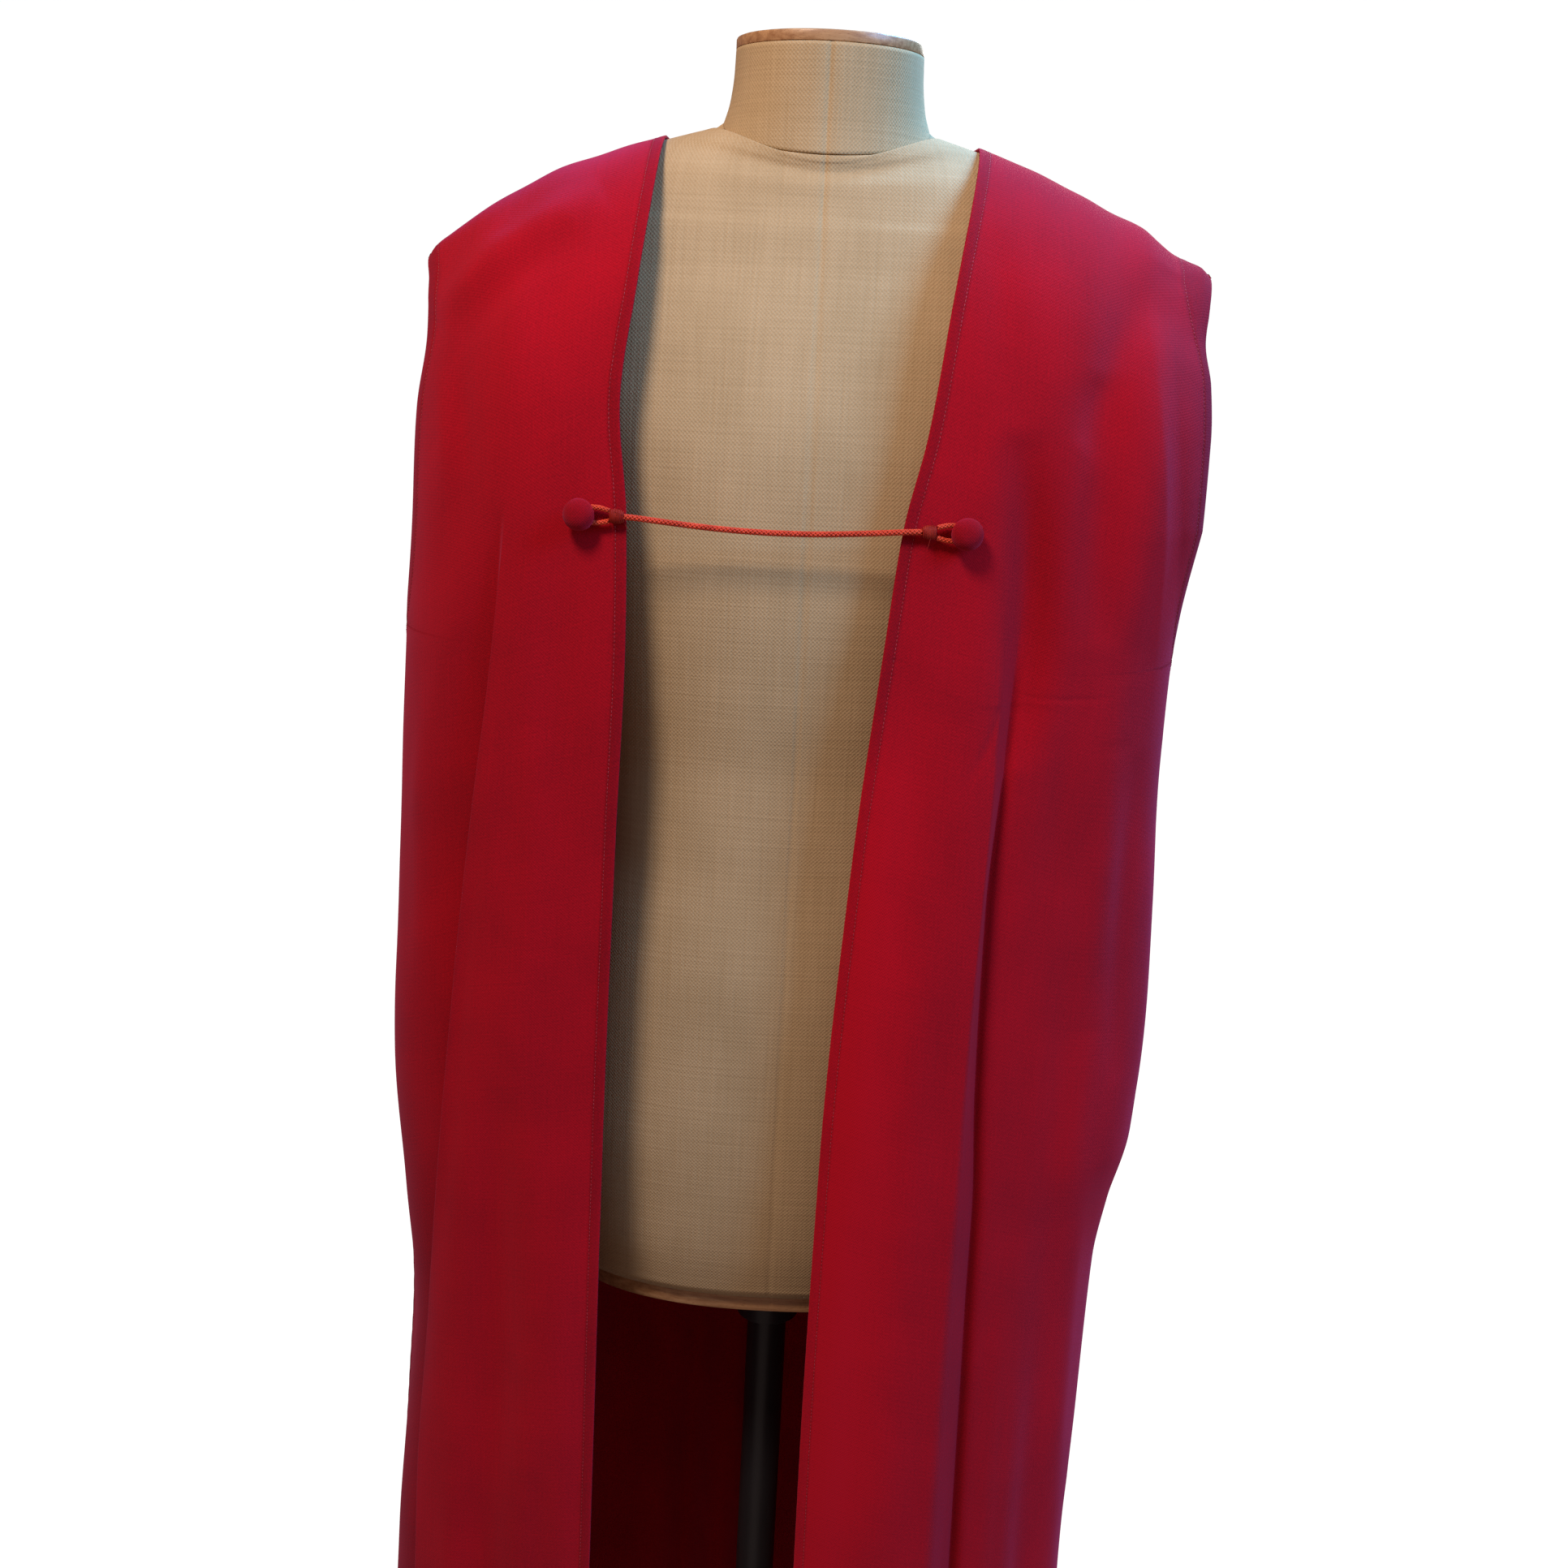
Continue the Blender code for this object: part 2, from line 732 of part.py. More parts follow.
def binding(word):
    """The winding of thread that closes a loop of the cord."""
    start, end = binding_ends(SIDES[word])
    way = (end - start) / BINDING_LENGTH
    deep = np.cross(way, (0, 0, 1))
    turn = np.arange(BINDING_SIDES)[:, None] * 2 * math.pi / BINDING_SIDES
    rings = []
    for along, half_width, half_depth in zip(*BINDING_PROFILE.values()):
        spokes = half_width * np.cos(turn) * (0, 0, 1) + half_depth * np.sin(turn) * deep
        rings.append(start + along * (end - start) + spokes)
    return loft(f"cord_binding_{word}", rings, RED_CORD)


def loop(word):
    """The loop of the cord that goes round a button's shank."""
    side = SIDES[word]
    middle = on_front(side, BUTTON_ACROSS[side], CHEST, LOOP_OUT)
    end = binding_ends(side)[0]
    way = (end - middle) / np.linalg.norm(end - middle)
    end = end - way * 2 * GAP
    up = np.array([0, 0, 1])
    bend = [middle + LOOP_ROUND * (math.cos(a) * way + math.sin(a) * up) for a in LOOP_TURN]
    ends = [end + LOOP_SPREAD * up, end - LOOP_SPREAD * up]
    upper_leg = (bend[0] + ends[0]) / 2 + LOOP_BULGE * up
    lower_leg = (bend[-1] + ends[1]) / 2 - LOOP_BULGE * up
    route = [ends[0], upper_leg, *bend, lower_leg, ends[1]]
    return tube(f"cord_loop_{word}", route, LOOP_POINTS, LOOP, RED_CORD)


def fastening_cord():
    """The cord from one binding to the other, which sags a little between them."""
    starts, ends = zip(*(binding_ends(side) for side in (RIGHT, LEFT)))
    ways = [(end - start) / BINDING_LENGTH for start, end in zip(starts, ends)]
    first, last = (end + way * GAP for end, way in zip(ends, ways))
    t = np.linspace(0, 1, 17)[:, None]
    pulls = (first, first + ways[0] * CORD_STIFF, last + ways[1] * CORD_STIFF, last)
    weights = ((1 - t) ** 3, 3 * t * (1 - t) ** 2, 3 * t * t * (1 - t), t**3)
    route = sum(weight * pull for weight, pull in zip(weights, pulls))
    route[:, 2] -= CORD_SAG * np.sin(math.pi * t[:, 0]) ** 2
    return tube("fastening_cord", route, CORD_POINTS, CORD, RED_CORD)


# The dress form and its stand


def slice_of(across, front_depth, back_depth, height, tilt, square, level):
    """A ring of the dress form. level is 1 for a plane ring, and 0 where only its middle tilts."""
    turn = np.arange(FORM_SIDES) * 2 * math.pi / FORM_SIDES
    s, c = np.sin(turn), np.cos(turn)
    x = across * np.sign(s) * np.abs(s) ** (2 / square)
    depth = np.where(c > 0, back_depth, front_depth)
    y = depth * np.sign(c) * np.abs(c) ** (2 / square)
    return np.stack([x, y, height + tilt * y * (level + (1 - level) * c * c)], axis=1)


def form_ridge(across):
    """Height of the form's shoulders, clear below the cloth on both sides."""
    return min(ridge(side, across) for side in (RIGHT, LEFT)) - WALL - FORM_CLEAR


def form_torso():
    """The padded body of the form, from the hips to the seam of the neck."""
    rings = [
        slice_of(x, front, back_, z, 0, square, 0)
        for z, x, front, back_, square in zip(*FORM_BODY.values())
    ]
    rings += [
        slice_of(x, front, back_, form_ridge(x), tilt, square, 0)
        for x, front, back_, tilt, square in zip(*FORM_SHOULDER.values())
    ]
    rings.append(neck_ring(0, 0))
    return loft("form_torso", rings, LINEN)


def neck_ring(index, lift):
    """A ring of the neck, with a lift to leave a gap at its seam."""
    rise, across, front, back_, tilt = (c[index] for c in NECK_RINGS.values())
    return slice_of(across, front, back_, NECK_SEAM + rise + lift, tilt, NECK_ROUND, 1)


def form_neck():
    """The neck, from its seam up to the level cap."""
    count = len(NECK_RINGS["rise"])
    rings = [neck_ring(i, GAP if i == 0 else 0) for i in range(count)]
    return loft("form_neck", rings, LINEN)


def form_neck_cap():
    """The flat wooden cap on the neck."""
    top = neck_ring(-1, GAP)
    middle = top.mean(axis=0)
    rings = []
    for inset, rise in zip(*CAP_PROFILE.values()):
        way = top - middle
        ring = middle + way * (1 - inset / np.linalg.norm(way, axis=1, keepdims=True))
        rings.append(ring + (0, 0, rise))
    return loft("form_neck_cap", rings, BEECH)


def form_base_board():
    """The board that closes the bottom of the form."""
    z, x, front, back_, square = (c[0] for c in FORM_BODY.values())
    sizes = (x - BOARD_INSET, front - BOARD_INSET, back_ - BOARD_INSET)
    heights = (z - GAP - BOARD_THICK, z - GAP)
    rings = [slice_of(*sizes, height, 0, square, 0) for height in heights]
    return loft("form_base_board", rings, BEECH)


BOARD_UNDERSIDE = FORM_BODY["height"][0] - GAP - BOARD_THICK
SOCKET_TOP = BOARD_UNDERSIDE - GAP
SOCKET_BOTTOM = SOCKET_TOP - SOCKET_PROFILE["down"][-1]
BASE_TOP = BASE_PROFILE["height"][-1]

for each in SIDES:
    front(each)
    button(each)
    binding(each)
    loop(each)
back()
fastening_cord()
form_torso()
form_neck()
form_neck_cap()
form_base_board()
turned(
    "stand_socket",
    SOCKET_PROFILE["radius"][::-1],
    SOCKET_TOP - SOCKET_PROFILE["down"][::-1],
    STEEL,
)
turned("stand_pole", [POLE_RADIUS] * 2, [BASE_TOP + GAP, SOCKET_BOTTOM - GAP], STEEL)
turned("stand_base", *BASE_PROFILE.values(), STEEL)
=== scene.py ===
# %% [markdown]
# # A chimere on a dress form
#
# A chimere is a long robe without sleeves, open down the front. This one is sewn from a matt red
# cloth and held at the chest by a braided cord, which loops round two covered buttons. It hangs on
# a limbless linen dress form on a steel stand. This script dresses the plain solids of that model:
# it keeps their places and adds the folds, hems, stitches, weave and braid.
#
# Everything is in metres. The floor is at Z = 0, the wearer faces -Y, and the wearer's left is +X.

# %% Load the solids that the scene is built on
import json
import math

import bpy
import numpy as np
from mathutils import Matrix, Vector
from mathutils.kdtree import KDTree

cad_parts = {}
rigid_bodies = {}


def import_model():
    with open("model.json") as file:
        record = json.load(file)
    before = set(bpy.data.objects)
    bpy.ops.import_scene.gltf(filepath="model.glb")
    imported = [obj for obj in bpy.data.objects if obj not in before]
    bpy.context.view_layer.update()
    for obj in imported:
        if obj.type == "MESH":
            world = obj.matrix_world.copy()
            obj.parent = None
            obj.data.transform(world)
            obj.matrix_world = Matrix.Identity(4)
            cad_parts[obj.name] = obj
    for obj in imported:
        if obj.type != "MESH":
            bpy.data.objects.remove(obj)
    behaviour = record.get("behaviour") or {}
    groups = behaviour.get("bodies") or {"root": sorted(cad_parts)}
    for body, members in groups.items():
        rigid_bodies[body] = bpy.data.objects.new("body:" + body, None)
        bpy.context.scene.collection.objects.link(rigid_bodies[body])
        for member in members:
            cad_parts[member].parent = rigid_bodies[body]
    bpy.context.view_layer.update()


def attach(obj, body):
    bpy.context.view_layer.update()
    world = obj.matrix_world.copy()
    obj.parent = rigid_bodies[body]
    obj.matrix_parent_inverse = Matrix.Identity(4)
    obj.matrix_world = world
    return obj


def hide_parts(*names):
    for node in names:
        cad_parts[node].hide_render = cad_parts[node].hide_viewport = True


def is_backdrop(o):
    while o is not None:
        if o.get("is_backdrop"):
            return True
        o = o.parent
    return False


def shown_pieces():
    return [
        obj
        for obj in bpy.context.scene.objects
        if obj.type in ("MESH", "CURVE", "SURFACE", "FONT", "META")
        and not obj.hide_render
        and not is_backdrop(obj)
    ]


for old in list(bpy.data.objects):
    bpy.data.objects.remove(old)
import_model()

# %% [markdown]
# ## The camera
#
# The picture was taken from about a metre in front of the form, from the height of its neck and a
# little tilted. Such a near, wide view makes the shoulders look broad and the hem narrow, so the
# distance matters as much as the angle. It was found by matching the outline.

# %% Place the camera
PICTURE_PIXELS = 1932  # the picture is square
FOCAL_PIXELS = 2220
SENSOR = 36  # in mm, as on a full-frame camera
CAMERA_PLACE = (-0.0065, -1.1774, 1.3637)
CAMERA_PITCH = math.radians(76)  # from straight down
CAMERA_ROLL = math.radians(2.8)

camera_data = bpy.data.cameras.new("camera")
camera_data.sensor_width = SENSOR
camera_data.lens = FOCAL_PIXELS / PICTURE_PIXELS * SENSOR
camera = bpy.data.objects.new("camera", camera_data)
bpy.context.scene.collection.objects.link(camera)
pitch = Matrix.Rotation(CAMERA_PITCH, 4, "X")
roll = Matrix.Rotation(CAMERA_ROLL, 4, "Z")
camera.matrix_world = Matrix.Translation(CAMERA_PLACE) @ pitch @ roll
bpy.context.scene.camera = camera
print("lens", round(camera_data.lens, 2), "mm")

# %% [markdown]
# ## Curves through short tables
#
# A tailor notes a few measures down a garment and draws a fair curve through them. The tables here
# do the same: a row for each height, and one smooth curve through each column. The curve never
# swings past its measures, so a width that only grows in the table only grows in the cloth.

# %% Read a smooth curve from a table
RIGHT, LEFT = -1, 1  # the wearer's sides, as signs of X
SIDES = {"right": RIGHT, "left": LEFT}
UP = np.array([0.0, 0.0, 1.0])
MM = 0.001
FULL_TURN = 2 * math.pi


def table(columns, *rows):
    """Rows of numbers under named columns, as a dictionary of arrays."""
    return dict(zip(columns.split(), np.array(rows, float).T))


def follow(rows, column, at, key="height"):
    """A column's value at places along the key column, on a smooth curve without overshoot."""
    x, y = rows[key], rows[column]
    at = np.clip(at, x[0], x[-1])
    rise = np.diff(y) / np.diff(x)
    climbs = rise[:-1] * rise[1:] > 0
    inner = 2 * rise[:-1] * rise[1:] / np.where(climbs, rise[:-1] + rise[1:], 1)
    slope = np.concatenate([rise[:1], np.where(climbs, inner, 0), rise[-1:]])
    i = np.clip(np.searchsorted(x, at) - 1, 0, len(rise) - 1)
    span = x[i + 1] - x[i]
    t = (at - x[i]) / span
    start = y[i] * (1 + 2 * t) * (1 - t) ** 2 + slope[i] * span * t * (1 - t) ** 2
    end = y[i + 1] * t * t * (3 - 2 * t) - slope[i + 1] * span * t * t * (1 - t)
    return start + end


def follow_each(rows, columns, at, key="height"):
    """The values of several columns, whose names are given in one string."""
    return [follow(rows, column, at, key) for column in columns.split()]


ramp = table("at value", (0, 0), (1, 1), (2, 1))
print("halfway up a curve from 0 to 1, which then stays level:", follow(ramp, "value", 0.5, "at"))

# %% Make soft steps
SLACKENING = 1.4  # how quickly the cloth levels out on its way back from a fold
BROW_SHARE = 0.3  # of a roll's flank, its soft brow


def ease(t):
    """0 to 1 with a soft start and a soft end."""
    t = np.clip(t, 0, 1)
    return t * t * (3 - 2 * t)


def below(height, top, fall):
    """0 above a height, and growing softly to 1 so far below it."""
    return ease((top - height) / fall)


def trough(away, width):
    """1 at the bottom of a trough and 0 at its two lips, a width to each side."""
    return np.cos(np.clip(away / width, -1, 1) * math.pi / 2) ** 2


def drop_back(away, wide, reach):
    """1 at the bottom of a drop so wide, and from there a straight, slowing way back to 0."""
    down = np.sin(np.clip(1 + away / wide, 0, 1) * math.pi / 2)
    return np.where(away < 0, down, (1 - np.clip(away / reach, 0, 1)) ** SLACKENING)


def flank(t):
    """0 to 1 down the flank of a roll: a soft brow, then a straight side."""
    t = np.clip(t, 0, 1)
    straight = 1 - BROW_SHARE / 2
    brow = t * t / (2 * BROW_SHARE * straight)
    return np.where(t < BROW_SHARE, brow, (t - BROW_SHARE / 2) / straight)


def bell(away, width):
    """1 in the middle of a soft line, fading over its width."""
    return np.exp(-((away / width) ** 2))


print("a soft step, a quarter of the way:", float(ease(0.25)))

# %% Measure along lines and round circles
def unit(vectors):
    """The same directions, one metre long."""
    vectors = np.asarray(vectors, float)
    return vectors / np.linalg.norm(vectors, axis=-1, keepdims=True)


def lengths_along(points, axis=0):
    """How far each point is along its line, or along the columns (0) or rows (1) of a surface."""
    steps = np.linalg.norm(np.diff(points, axis=axis), axis=-1)
    first = 0 * np.take(steps, [0], axis=axis)
    return np.concatenate([first, np.cumsum(steps, axis=axis)], axis=axis)


def points_at(line, along, at):
    """The points of a line that are so far along it, or other values that go with its points."""
    return np.stack([np.interp(at, along, axis) for axis in line.T], axis=1)


def turns(count):
    """So many angles evenly round a circle."""
    return np.arange(count) * FULL_TURN / count


print("three angles round a circle:", np.degrees(turns(3)).round(1).tolist())

# %% [markdown]
# ## Building meshes from rows of points
#
# Cloth, cord and turned steel are all rows of points with faces between them. One function joins
# the rows into faces and another gathers any number of such pieces into one object, so that a
# thousand stitches are one mesh and not a thousand objects.

# %% Join points into faces, and faces into objects
def strip_faces(rows, columns, closed=False, first=0):
    """The four corners of each cell of a grid of points, numbered row by row from first."""
    number = first + np.arange(rows * columns).reshape(rows, columns)
    if closed:
        number = np.concatenate([number, number[:, :1]], axis=1)
    corners = (number[:-1, :-1], number[1:, :-1], number[1:, 1:], number[:-1, 1:])
    return np.stack([c.ravel() for c in corners], axis=1)


def rings_part(rings):
    """The points and faces of a closed solid through rings of points."""
    rings = np.asarray(rings)
    count, sides = rings.shape[:2]
    faces = strip_faces(count, sides, closed=True).tolist()
    last = (count - 1) * sides
    faces.append(list(range(sides)))
    faces.append(list(range(last + sides - 1, last - 1, -1)))
    return rings.reshape(-1, 3), faces


def make_object(name, parts, finish, marks=None):
    """One object from several parts' points and faces, smooth, with marks stored on its points."""
    points, faces, first = [], [], 0
    for part_points, part_faces in parts:
        points.append(np.asarray(part_points, float))
        faces += [[first + i for i in face] for face in part_faces]
        first += len(part_points)
    mesh = bpy.data.meshes.new(name)
    mesh.from_pydata(np.concatenate(points).tolist(), [], faces)
    mesh.shade_smooth()
    for mark, values in (marks or {}).items():
        flat = np.asarray(values, np.float32)
        kind, field = ("FLOAT_VECTOR", "vector") if flat.ndim == 2 else ("FLOAT", "value")
        stored = mesh.attributes.new(mark, kind, "POINT")
        stored.data.foreach_set(field, flat.ravel())
    mesh.materials.append(finish)
    made = bpy.data.objects.new(name, mesh)
    bpy.context.scene.collection.objects.link(made)
    return made


def triangles(made):
    """How many triangles an object has."""
    return sum(len(face.vertices) - 2 for face in made.data.polygons)


def stands_for(made, slot, *nodes):
    """A piece rides with the model and takes a node's place. Its slot is not used."""
    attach(made, "root")
    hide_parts(*nodes)
    print(made.name, triangles(made), "triangles")


print("faces between 3 rows of 4 points:", len(strip_faces(3, 4)))

# %% [markdown]
# ## Finishes
#
# Each finish is a small network of nodes. Colours are picked as the screen shows them and turned
# to linear light by one function. Patterns are drawn in real millimetres: the cloth and the linen
# carry their own grain, a mark on each point that says how far along the weft and down the warp it
# lies, so the threads follow the cloth round its folds as woven threads do.

# %% Make colours, nodes and materials
def colour(code):
    """A screen colour such as 8A0C1E, in linear light."""
    shown = [int(code[i : i + 2], 16) / 255 for i in (0, 2, 4)]
    linear = [c / 12.92 if c <= 0.04045 else ((c + 0.055) / 1.055) ** 2.4 for c in shown]
    return (*linear, 1.0)


def add(tree, kind, inputs=None, **settings):
    """A node with its settings. An input is a value, or another node's output to link."""
    made = tree.nodes.new("ShaderNode" + kind)
    for key, value in settings.items():
        setattr(made, key, value)
    for key, value in (inputs or {}).items():
        if isinstance(value, bpy.types.NodeSocket):
            tree.links.new(value, made.inputs[key])
        else:
            made.inputs[key].default_value = value
    return made


def new_finish(name, **constants):
    """A material with its shader's own settings, and its tree to add to."""
    made = bpy.data.materials.new(name)
    made.use_nodes = True
    shader = made.node_tree.nodes["Principled BSDF"]
    for key, value in constants.items():
        shader.inputs[key.replace("_", " ")].default_value = value
    return made, made.node_tree, shader


print("8A0C1E in linear light:", [round(part, 4) for part in colour("8A0C1E")[:3]])

# %% Draw and lay on patterns
FIRST_COLOUR, SECOND_COLOUR, MIXED_COLOUR = 6, 7, 2  # the colour sockets of a Mix node


def stretched_noise(tree, vector, scale, detail=2.0):
    """Noise drawn at so many waves a metre along each axis of a vector."""
    sized = add(tree, "VectorMath", {0: vector, 1: scale}, operation="MULTIPLY")
    inputs = {"Vector": sized.outputs[0], "Scale": 1.0, "Detail": detail}
    return add(tree, "TexNoise", inputs).outputs[0]


def blend(tree, *parts):
    """The sum of some values, each times its share."""
    total = 0.0
    for value, share in parts:
        inputs = {0: value, 1: share, 2: total}
        total = add(tree, "Math", inputs, operation="MULTIPLY_ADD").outputs[0]
    return total


def lay_on(tree, shader, share, deep, bright, height, relief):
    """A finish's last step: from deep to bright colour by a share, and a height in its relief."""
    inputs = {0: share, FIRST_COLOUR: colour(deep), SECOND_COLOUR: colour(bright)}
    tint = add(tree, "Mix", inputs, data_type="RGBA")
    tree.links.new(tint.outputs[MIXED_COLOUR], shader.inputs["Base Color"])
    bump = add(tree, "Bump", {"Height": height, "Strength": 1.0, "Distance": relief})
    tree.links.new(bump.outputs[0], shader.inputs["Normal"])


print("a Mix node takes its two colours at sockets", FIRST_COLOUR, "and", SECOND_COLOUR)

# %% [markdown]
# ### Woven cloth
#
# The robe's cloth is a plain weave of dyed wool and polyester, matt, with a faint dry bloom where
# light grazes it. A plain weave is each warp thread going over one weft thread and under the next:
# the product of two waves gives that chequer of little humps. Real threads vary in thickness, and
# noise stretched a hundred times longer along the thread than across it draws such slubs.
#
# The real cloth has about 22 threads to the centimetre. Here there are 11, because the finer weave
# is smaller than a pixel from where the picture is taken, and only the slubs would be left of it.

# %% Define a woven finish
SLUBS_ACROSS = 0.6  # to each thread, so that a slub is a thread or two wide
SLUBS_ALONG = 16.0  # to a metre, so that each is some six centimetres long
MOTTLE = (17, 13, 1)  # waves a metre of the cloth's slow mottling, some six centimetres across
UNEVEN = (5, 3.5, 1)  # and of the dye's drift, some twenty centimetres across
DRIFT = 0.45  # the dye's drift, as a share of the mottling
MARKED = 0.45  # how far the marks for wear, painted light and shade, and doubled cloth shift the colour
CONTRAST = 0.75  # half of the range that runs from the deep colour to the bright one


def woven(name, deep, bright, spacing, slub, fuzz, speckle, relief, **constants):
    """A plain weave: threads so far apart, slubs, fuzz, slow mottling, rubbed edges, painted light
    and shade.
    """
    made, tree, shader = new_finish(name, **constants)
    grain = add(tree, "Attribute", attribute_name="grain").outputs["Vector"]
    wear_and_painted_light = add(tree, "Attribute", attribute_name="wear_and_painted_light").outputs["Fac"]
    ply = add(tree, "Attribute", attribute_name="ply").outputs["Fac"]
    parts = add(tree, "SeparateXYZ", {0: grain})
    waves = []
    for axis in (0, 1):
        inputs = {0: parts.outputs[axis], 1: FULL_TURN / spacing / 2}
        angle = add(tree, "Math", inputs, operation="MULTIPLY").outputs[0]
        waves.append(add(tree, "Math", {0: angle}, operation="SINE").outputs[0])
    weave = add(tree, "Math", {0: waves[0], 1: waves[1]}, operation="MULTIPLY").outputs[0]
    across, along = SLUBS_ACROSS / spacing, SLUBS_ALONG
    warp = stretched_noise(tree, grain, (across, along, 1))
    weft = stretched_noise(tree, grain, (along, across, 1))
    fluff = stretched_noise(tree, grain, (fuzz, fuzz, 1))
    slow = stretched_noise(tree, grain, MOTTLE, 3.0)
    wide = stretched_noise(tree, grain, UNEVEN, 1.0)
    noises = [(slow, 1.0), (warp, slub), (weft, 0.8 * slub), (fluff, speckle), (wide, DRIFT)]
    middle = 0.5 * sum(share for noise, share in noises)  # a noise's own middle is a half
    # the wear mark also carries the fronts' painted light and shade
    shade = blend(tree, *noises, (weave, 0.1), (wear_and_painted_light, MARKED), (ply, -MARKED))
    share = add(tree, "MapRange", {0: shade, 1: middle - CONTRAST, 2: middle + CONTRAST})
    height = blend(tree, (weave, 1.0), (warp, 2.2), (weft, 2.2), (fluff, 0.9))
    lay_on(tree, shader, share.outputs[0], deep, bright, height, relief)
    return made


print("slubs to a metre along a thread:", SLUBS_ALONG)

# %% Weave the robe's cloth and the form's linen
RED_CLOTH = woven(
    "red_wool_blend_plain_weave_dyed",
    "86010C",
    "C40516",
    spacing=0.9 * MM,
    slub=0.35,
    fuzz=800,
    speckle=1.6,
    relief=0.05 * MM,
    Roughness=0.9,
    Specular_IOR_Level=0.1,
    Sheen_Weight=0.32,
    Sheen_Roughness=0.6,
    Sheen_Tint=colour("C06894"),
)
LINEN = woven(
    "natural_linen_plain_weave_starched",
    "A88D64",
    "D2B68B",
    spacing=1.2 * MM,
    slub=0.6,
    fuzz=1000,
    speckle=0.9,
    relief=0.09 * MM,
    Roughness=0.9,
    Specular_IOR_Level=0.2,
    Sheen_Weight=0.05,
    Sheen_Roughness=0.5,
)
print("woven finishes:", RED_CLOTH.name, LINEN.name)

# %% [markdown]
# ### Thread and cord
#
# Sewing thread and the braid's strands are twisted rayon or polyester, smoother and brighter than
# the cloth, and more orange. Fine lines slanted round each strand stand for its twist. A strand has
# painted light on its crowns, where it passes over another, and painted shade where it dives under.

# %% Define the yarn's and the thread's finishes
def twisted(name, deep, bright, twist, relief, **constants):
    """A twisted thread: fine slanted lines, so many a metre, and painted light on crowns where
    marked.
    """
    made, tree, shader = new_finish(name, **constants)
    place = add(tree, "TexCoord").outputs["Object"]
    lines = stretched_noise(tree, place, (twist, twist * 0.6, twist * 0.35), 2.0)
    slow = stretched_noise(tree, place, (160, 160, 160), 1.0)  # six millimetres across
    crown = add(tree, "Attribute", attribute_name="crown").outputs["Fac"]
    # painted light on the yarns' crowns and painted shade where they dive under
    shade = blend(tree, (slow, 1.0), (lines, 0.8), (crown, 0.9))
    share = add(tree, "MapRange", {0: shade, 1: 0.7, 2: 2.0})
    lay_on(tree, shader, share.outputs[0], deep, bright, lines, relief)
    return made


CORD_YARN = twisted(
    "orange_red_rayon_yarn_braided",
    "7C100A",
    "F0583C",
    twist=3200,
    relief=0.12 * MM,
    Roughness=0.5,
    Specular_IOR_Level=0.15,
)
BINDING_YARN = twisted(
    "dark_red_rayon_yarn_wound",
    "8C140E",
    "DC5038",
    twist=3200,
    relief=0.12 * MM,
    Roughness=0.6,
    Specular_IOR_Level=0.2,
)
RED_THREAD = twisted(
    "red_polyester_thread_spun",
    "9C1620",
    "D0505E",
    twist=5000,
    relief=0.03 * MM,
    Roughness=0.6,
)
print("thread finishes:", CORD_YARN.name, BINDING_YARN.name, RED_THREAD.name)

# %% [markdown]
# ### Wood and steel
#
# The form's cap and base board are beech plywood with a thin varnish: long soft streaks, and the
# short dark flecks that beech has. The stand is steel with black powder coat, whose skin is very
# slightly pebbled, like orange peel, and greyer where it has been handled.

# %% Define the wood and the powder coat
def varnished_wood(name):
    """Beech: streaks along X, short flecks in them, under a coat of varnish."""
    made, tree, shader = new_finish(name, Roughness=0.5, Coat_Weight=0.35, Coat_Roughness=0.25)
    place = add(tree, "TexCoord").outputs["Object"]
    streaks = stretched_noise(tree, place, (14, 420, 420), 4.0)  # 70 by 2 mm
    flecks = stretched_noise(tree, place, (350, 2200, 2200), 1.0)  # 3 by 0.5 mm
    dark = add(tree, "MapRange", {0: flecks, 1: 0.62, 2: 0.72})
    shade = blend(tree, (streaks, 1.0), (dark.outputs[0], -0.35))
    share = add(tree, "MapRange", {0: shade, 1: 0.3, 2: 0.7})
    lay_on(tree, shader, share.outputs[0], "9A6A40", "C89A6A", shade, 0.05 * MM)
    return made


def powder_coat(name):
    """Black powder coat: orange peel a millimetre across, and faint paler patches."""
    made, tree, shader = new_finish(name)
    place = add(tree, "TexCoord").outputs["Object"]
    peel = stretched_noise(tree, place, (900, 900, 900), 1.0)  # 1 mm across
    handled = stretched_noise(tree, place, (11, 11, 11), 3.0)  # 9 cm across
    rough = add(tree, "MapRange", {0: handled, 3: 0.34, 4: 0.5})
    tree.links.new(rough.outputs[0], shader.inputs["Roughness"])
    lay_on(tree, shader, handled, "1A1A1C", "2E2E31", peel, 0.03 * MM)
    return made


BEECH = varnished_wood("beech_plywood_varnished")
STEEL = powder_coat("black_steel_powder_coated")
print("hard finishes:", BEECH.name, STEEL.name)

# %% [markdown]
# ## The robe's measures
#
# The robe is cut wide. It hangs from the shoulders and stands clear of the form, so its section at
# each height is a squared oval: an oval whose corners are filled out. These are the same measures
# as the solids have, and so is the shape that they give.

# %% Note the robe's heights and how square it is
WALL = 0.0015  # thickness of the solids' cloth
GAP = 0.0003  # clear gap between two pieces that touch
CHEST = 1.2565  # height of the buttons
UNDERARM = 1.172  # height of the bottom of the armholes
HEM = 0.150  # height of the robe's lower edge
SQUARE = 2.6  # how square the robe's round is, 2 being an oval
FRONT_FALL = 2.1  # how squarely the front falls from the shoulder
BACK_FALL = 2.6
print("the hem is", HEM, "m above the floor and the buttons", CHEST, "m")

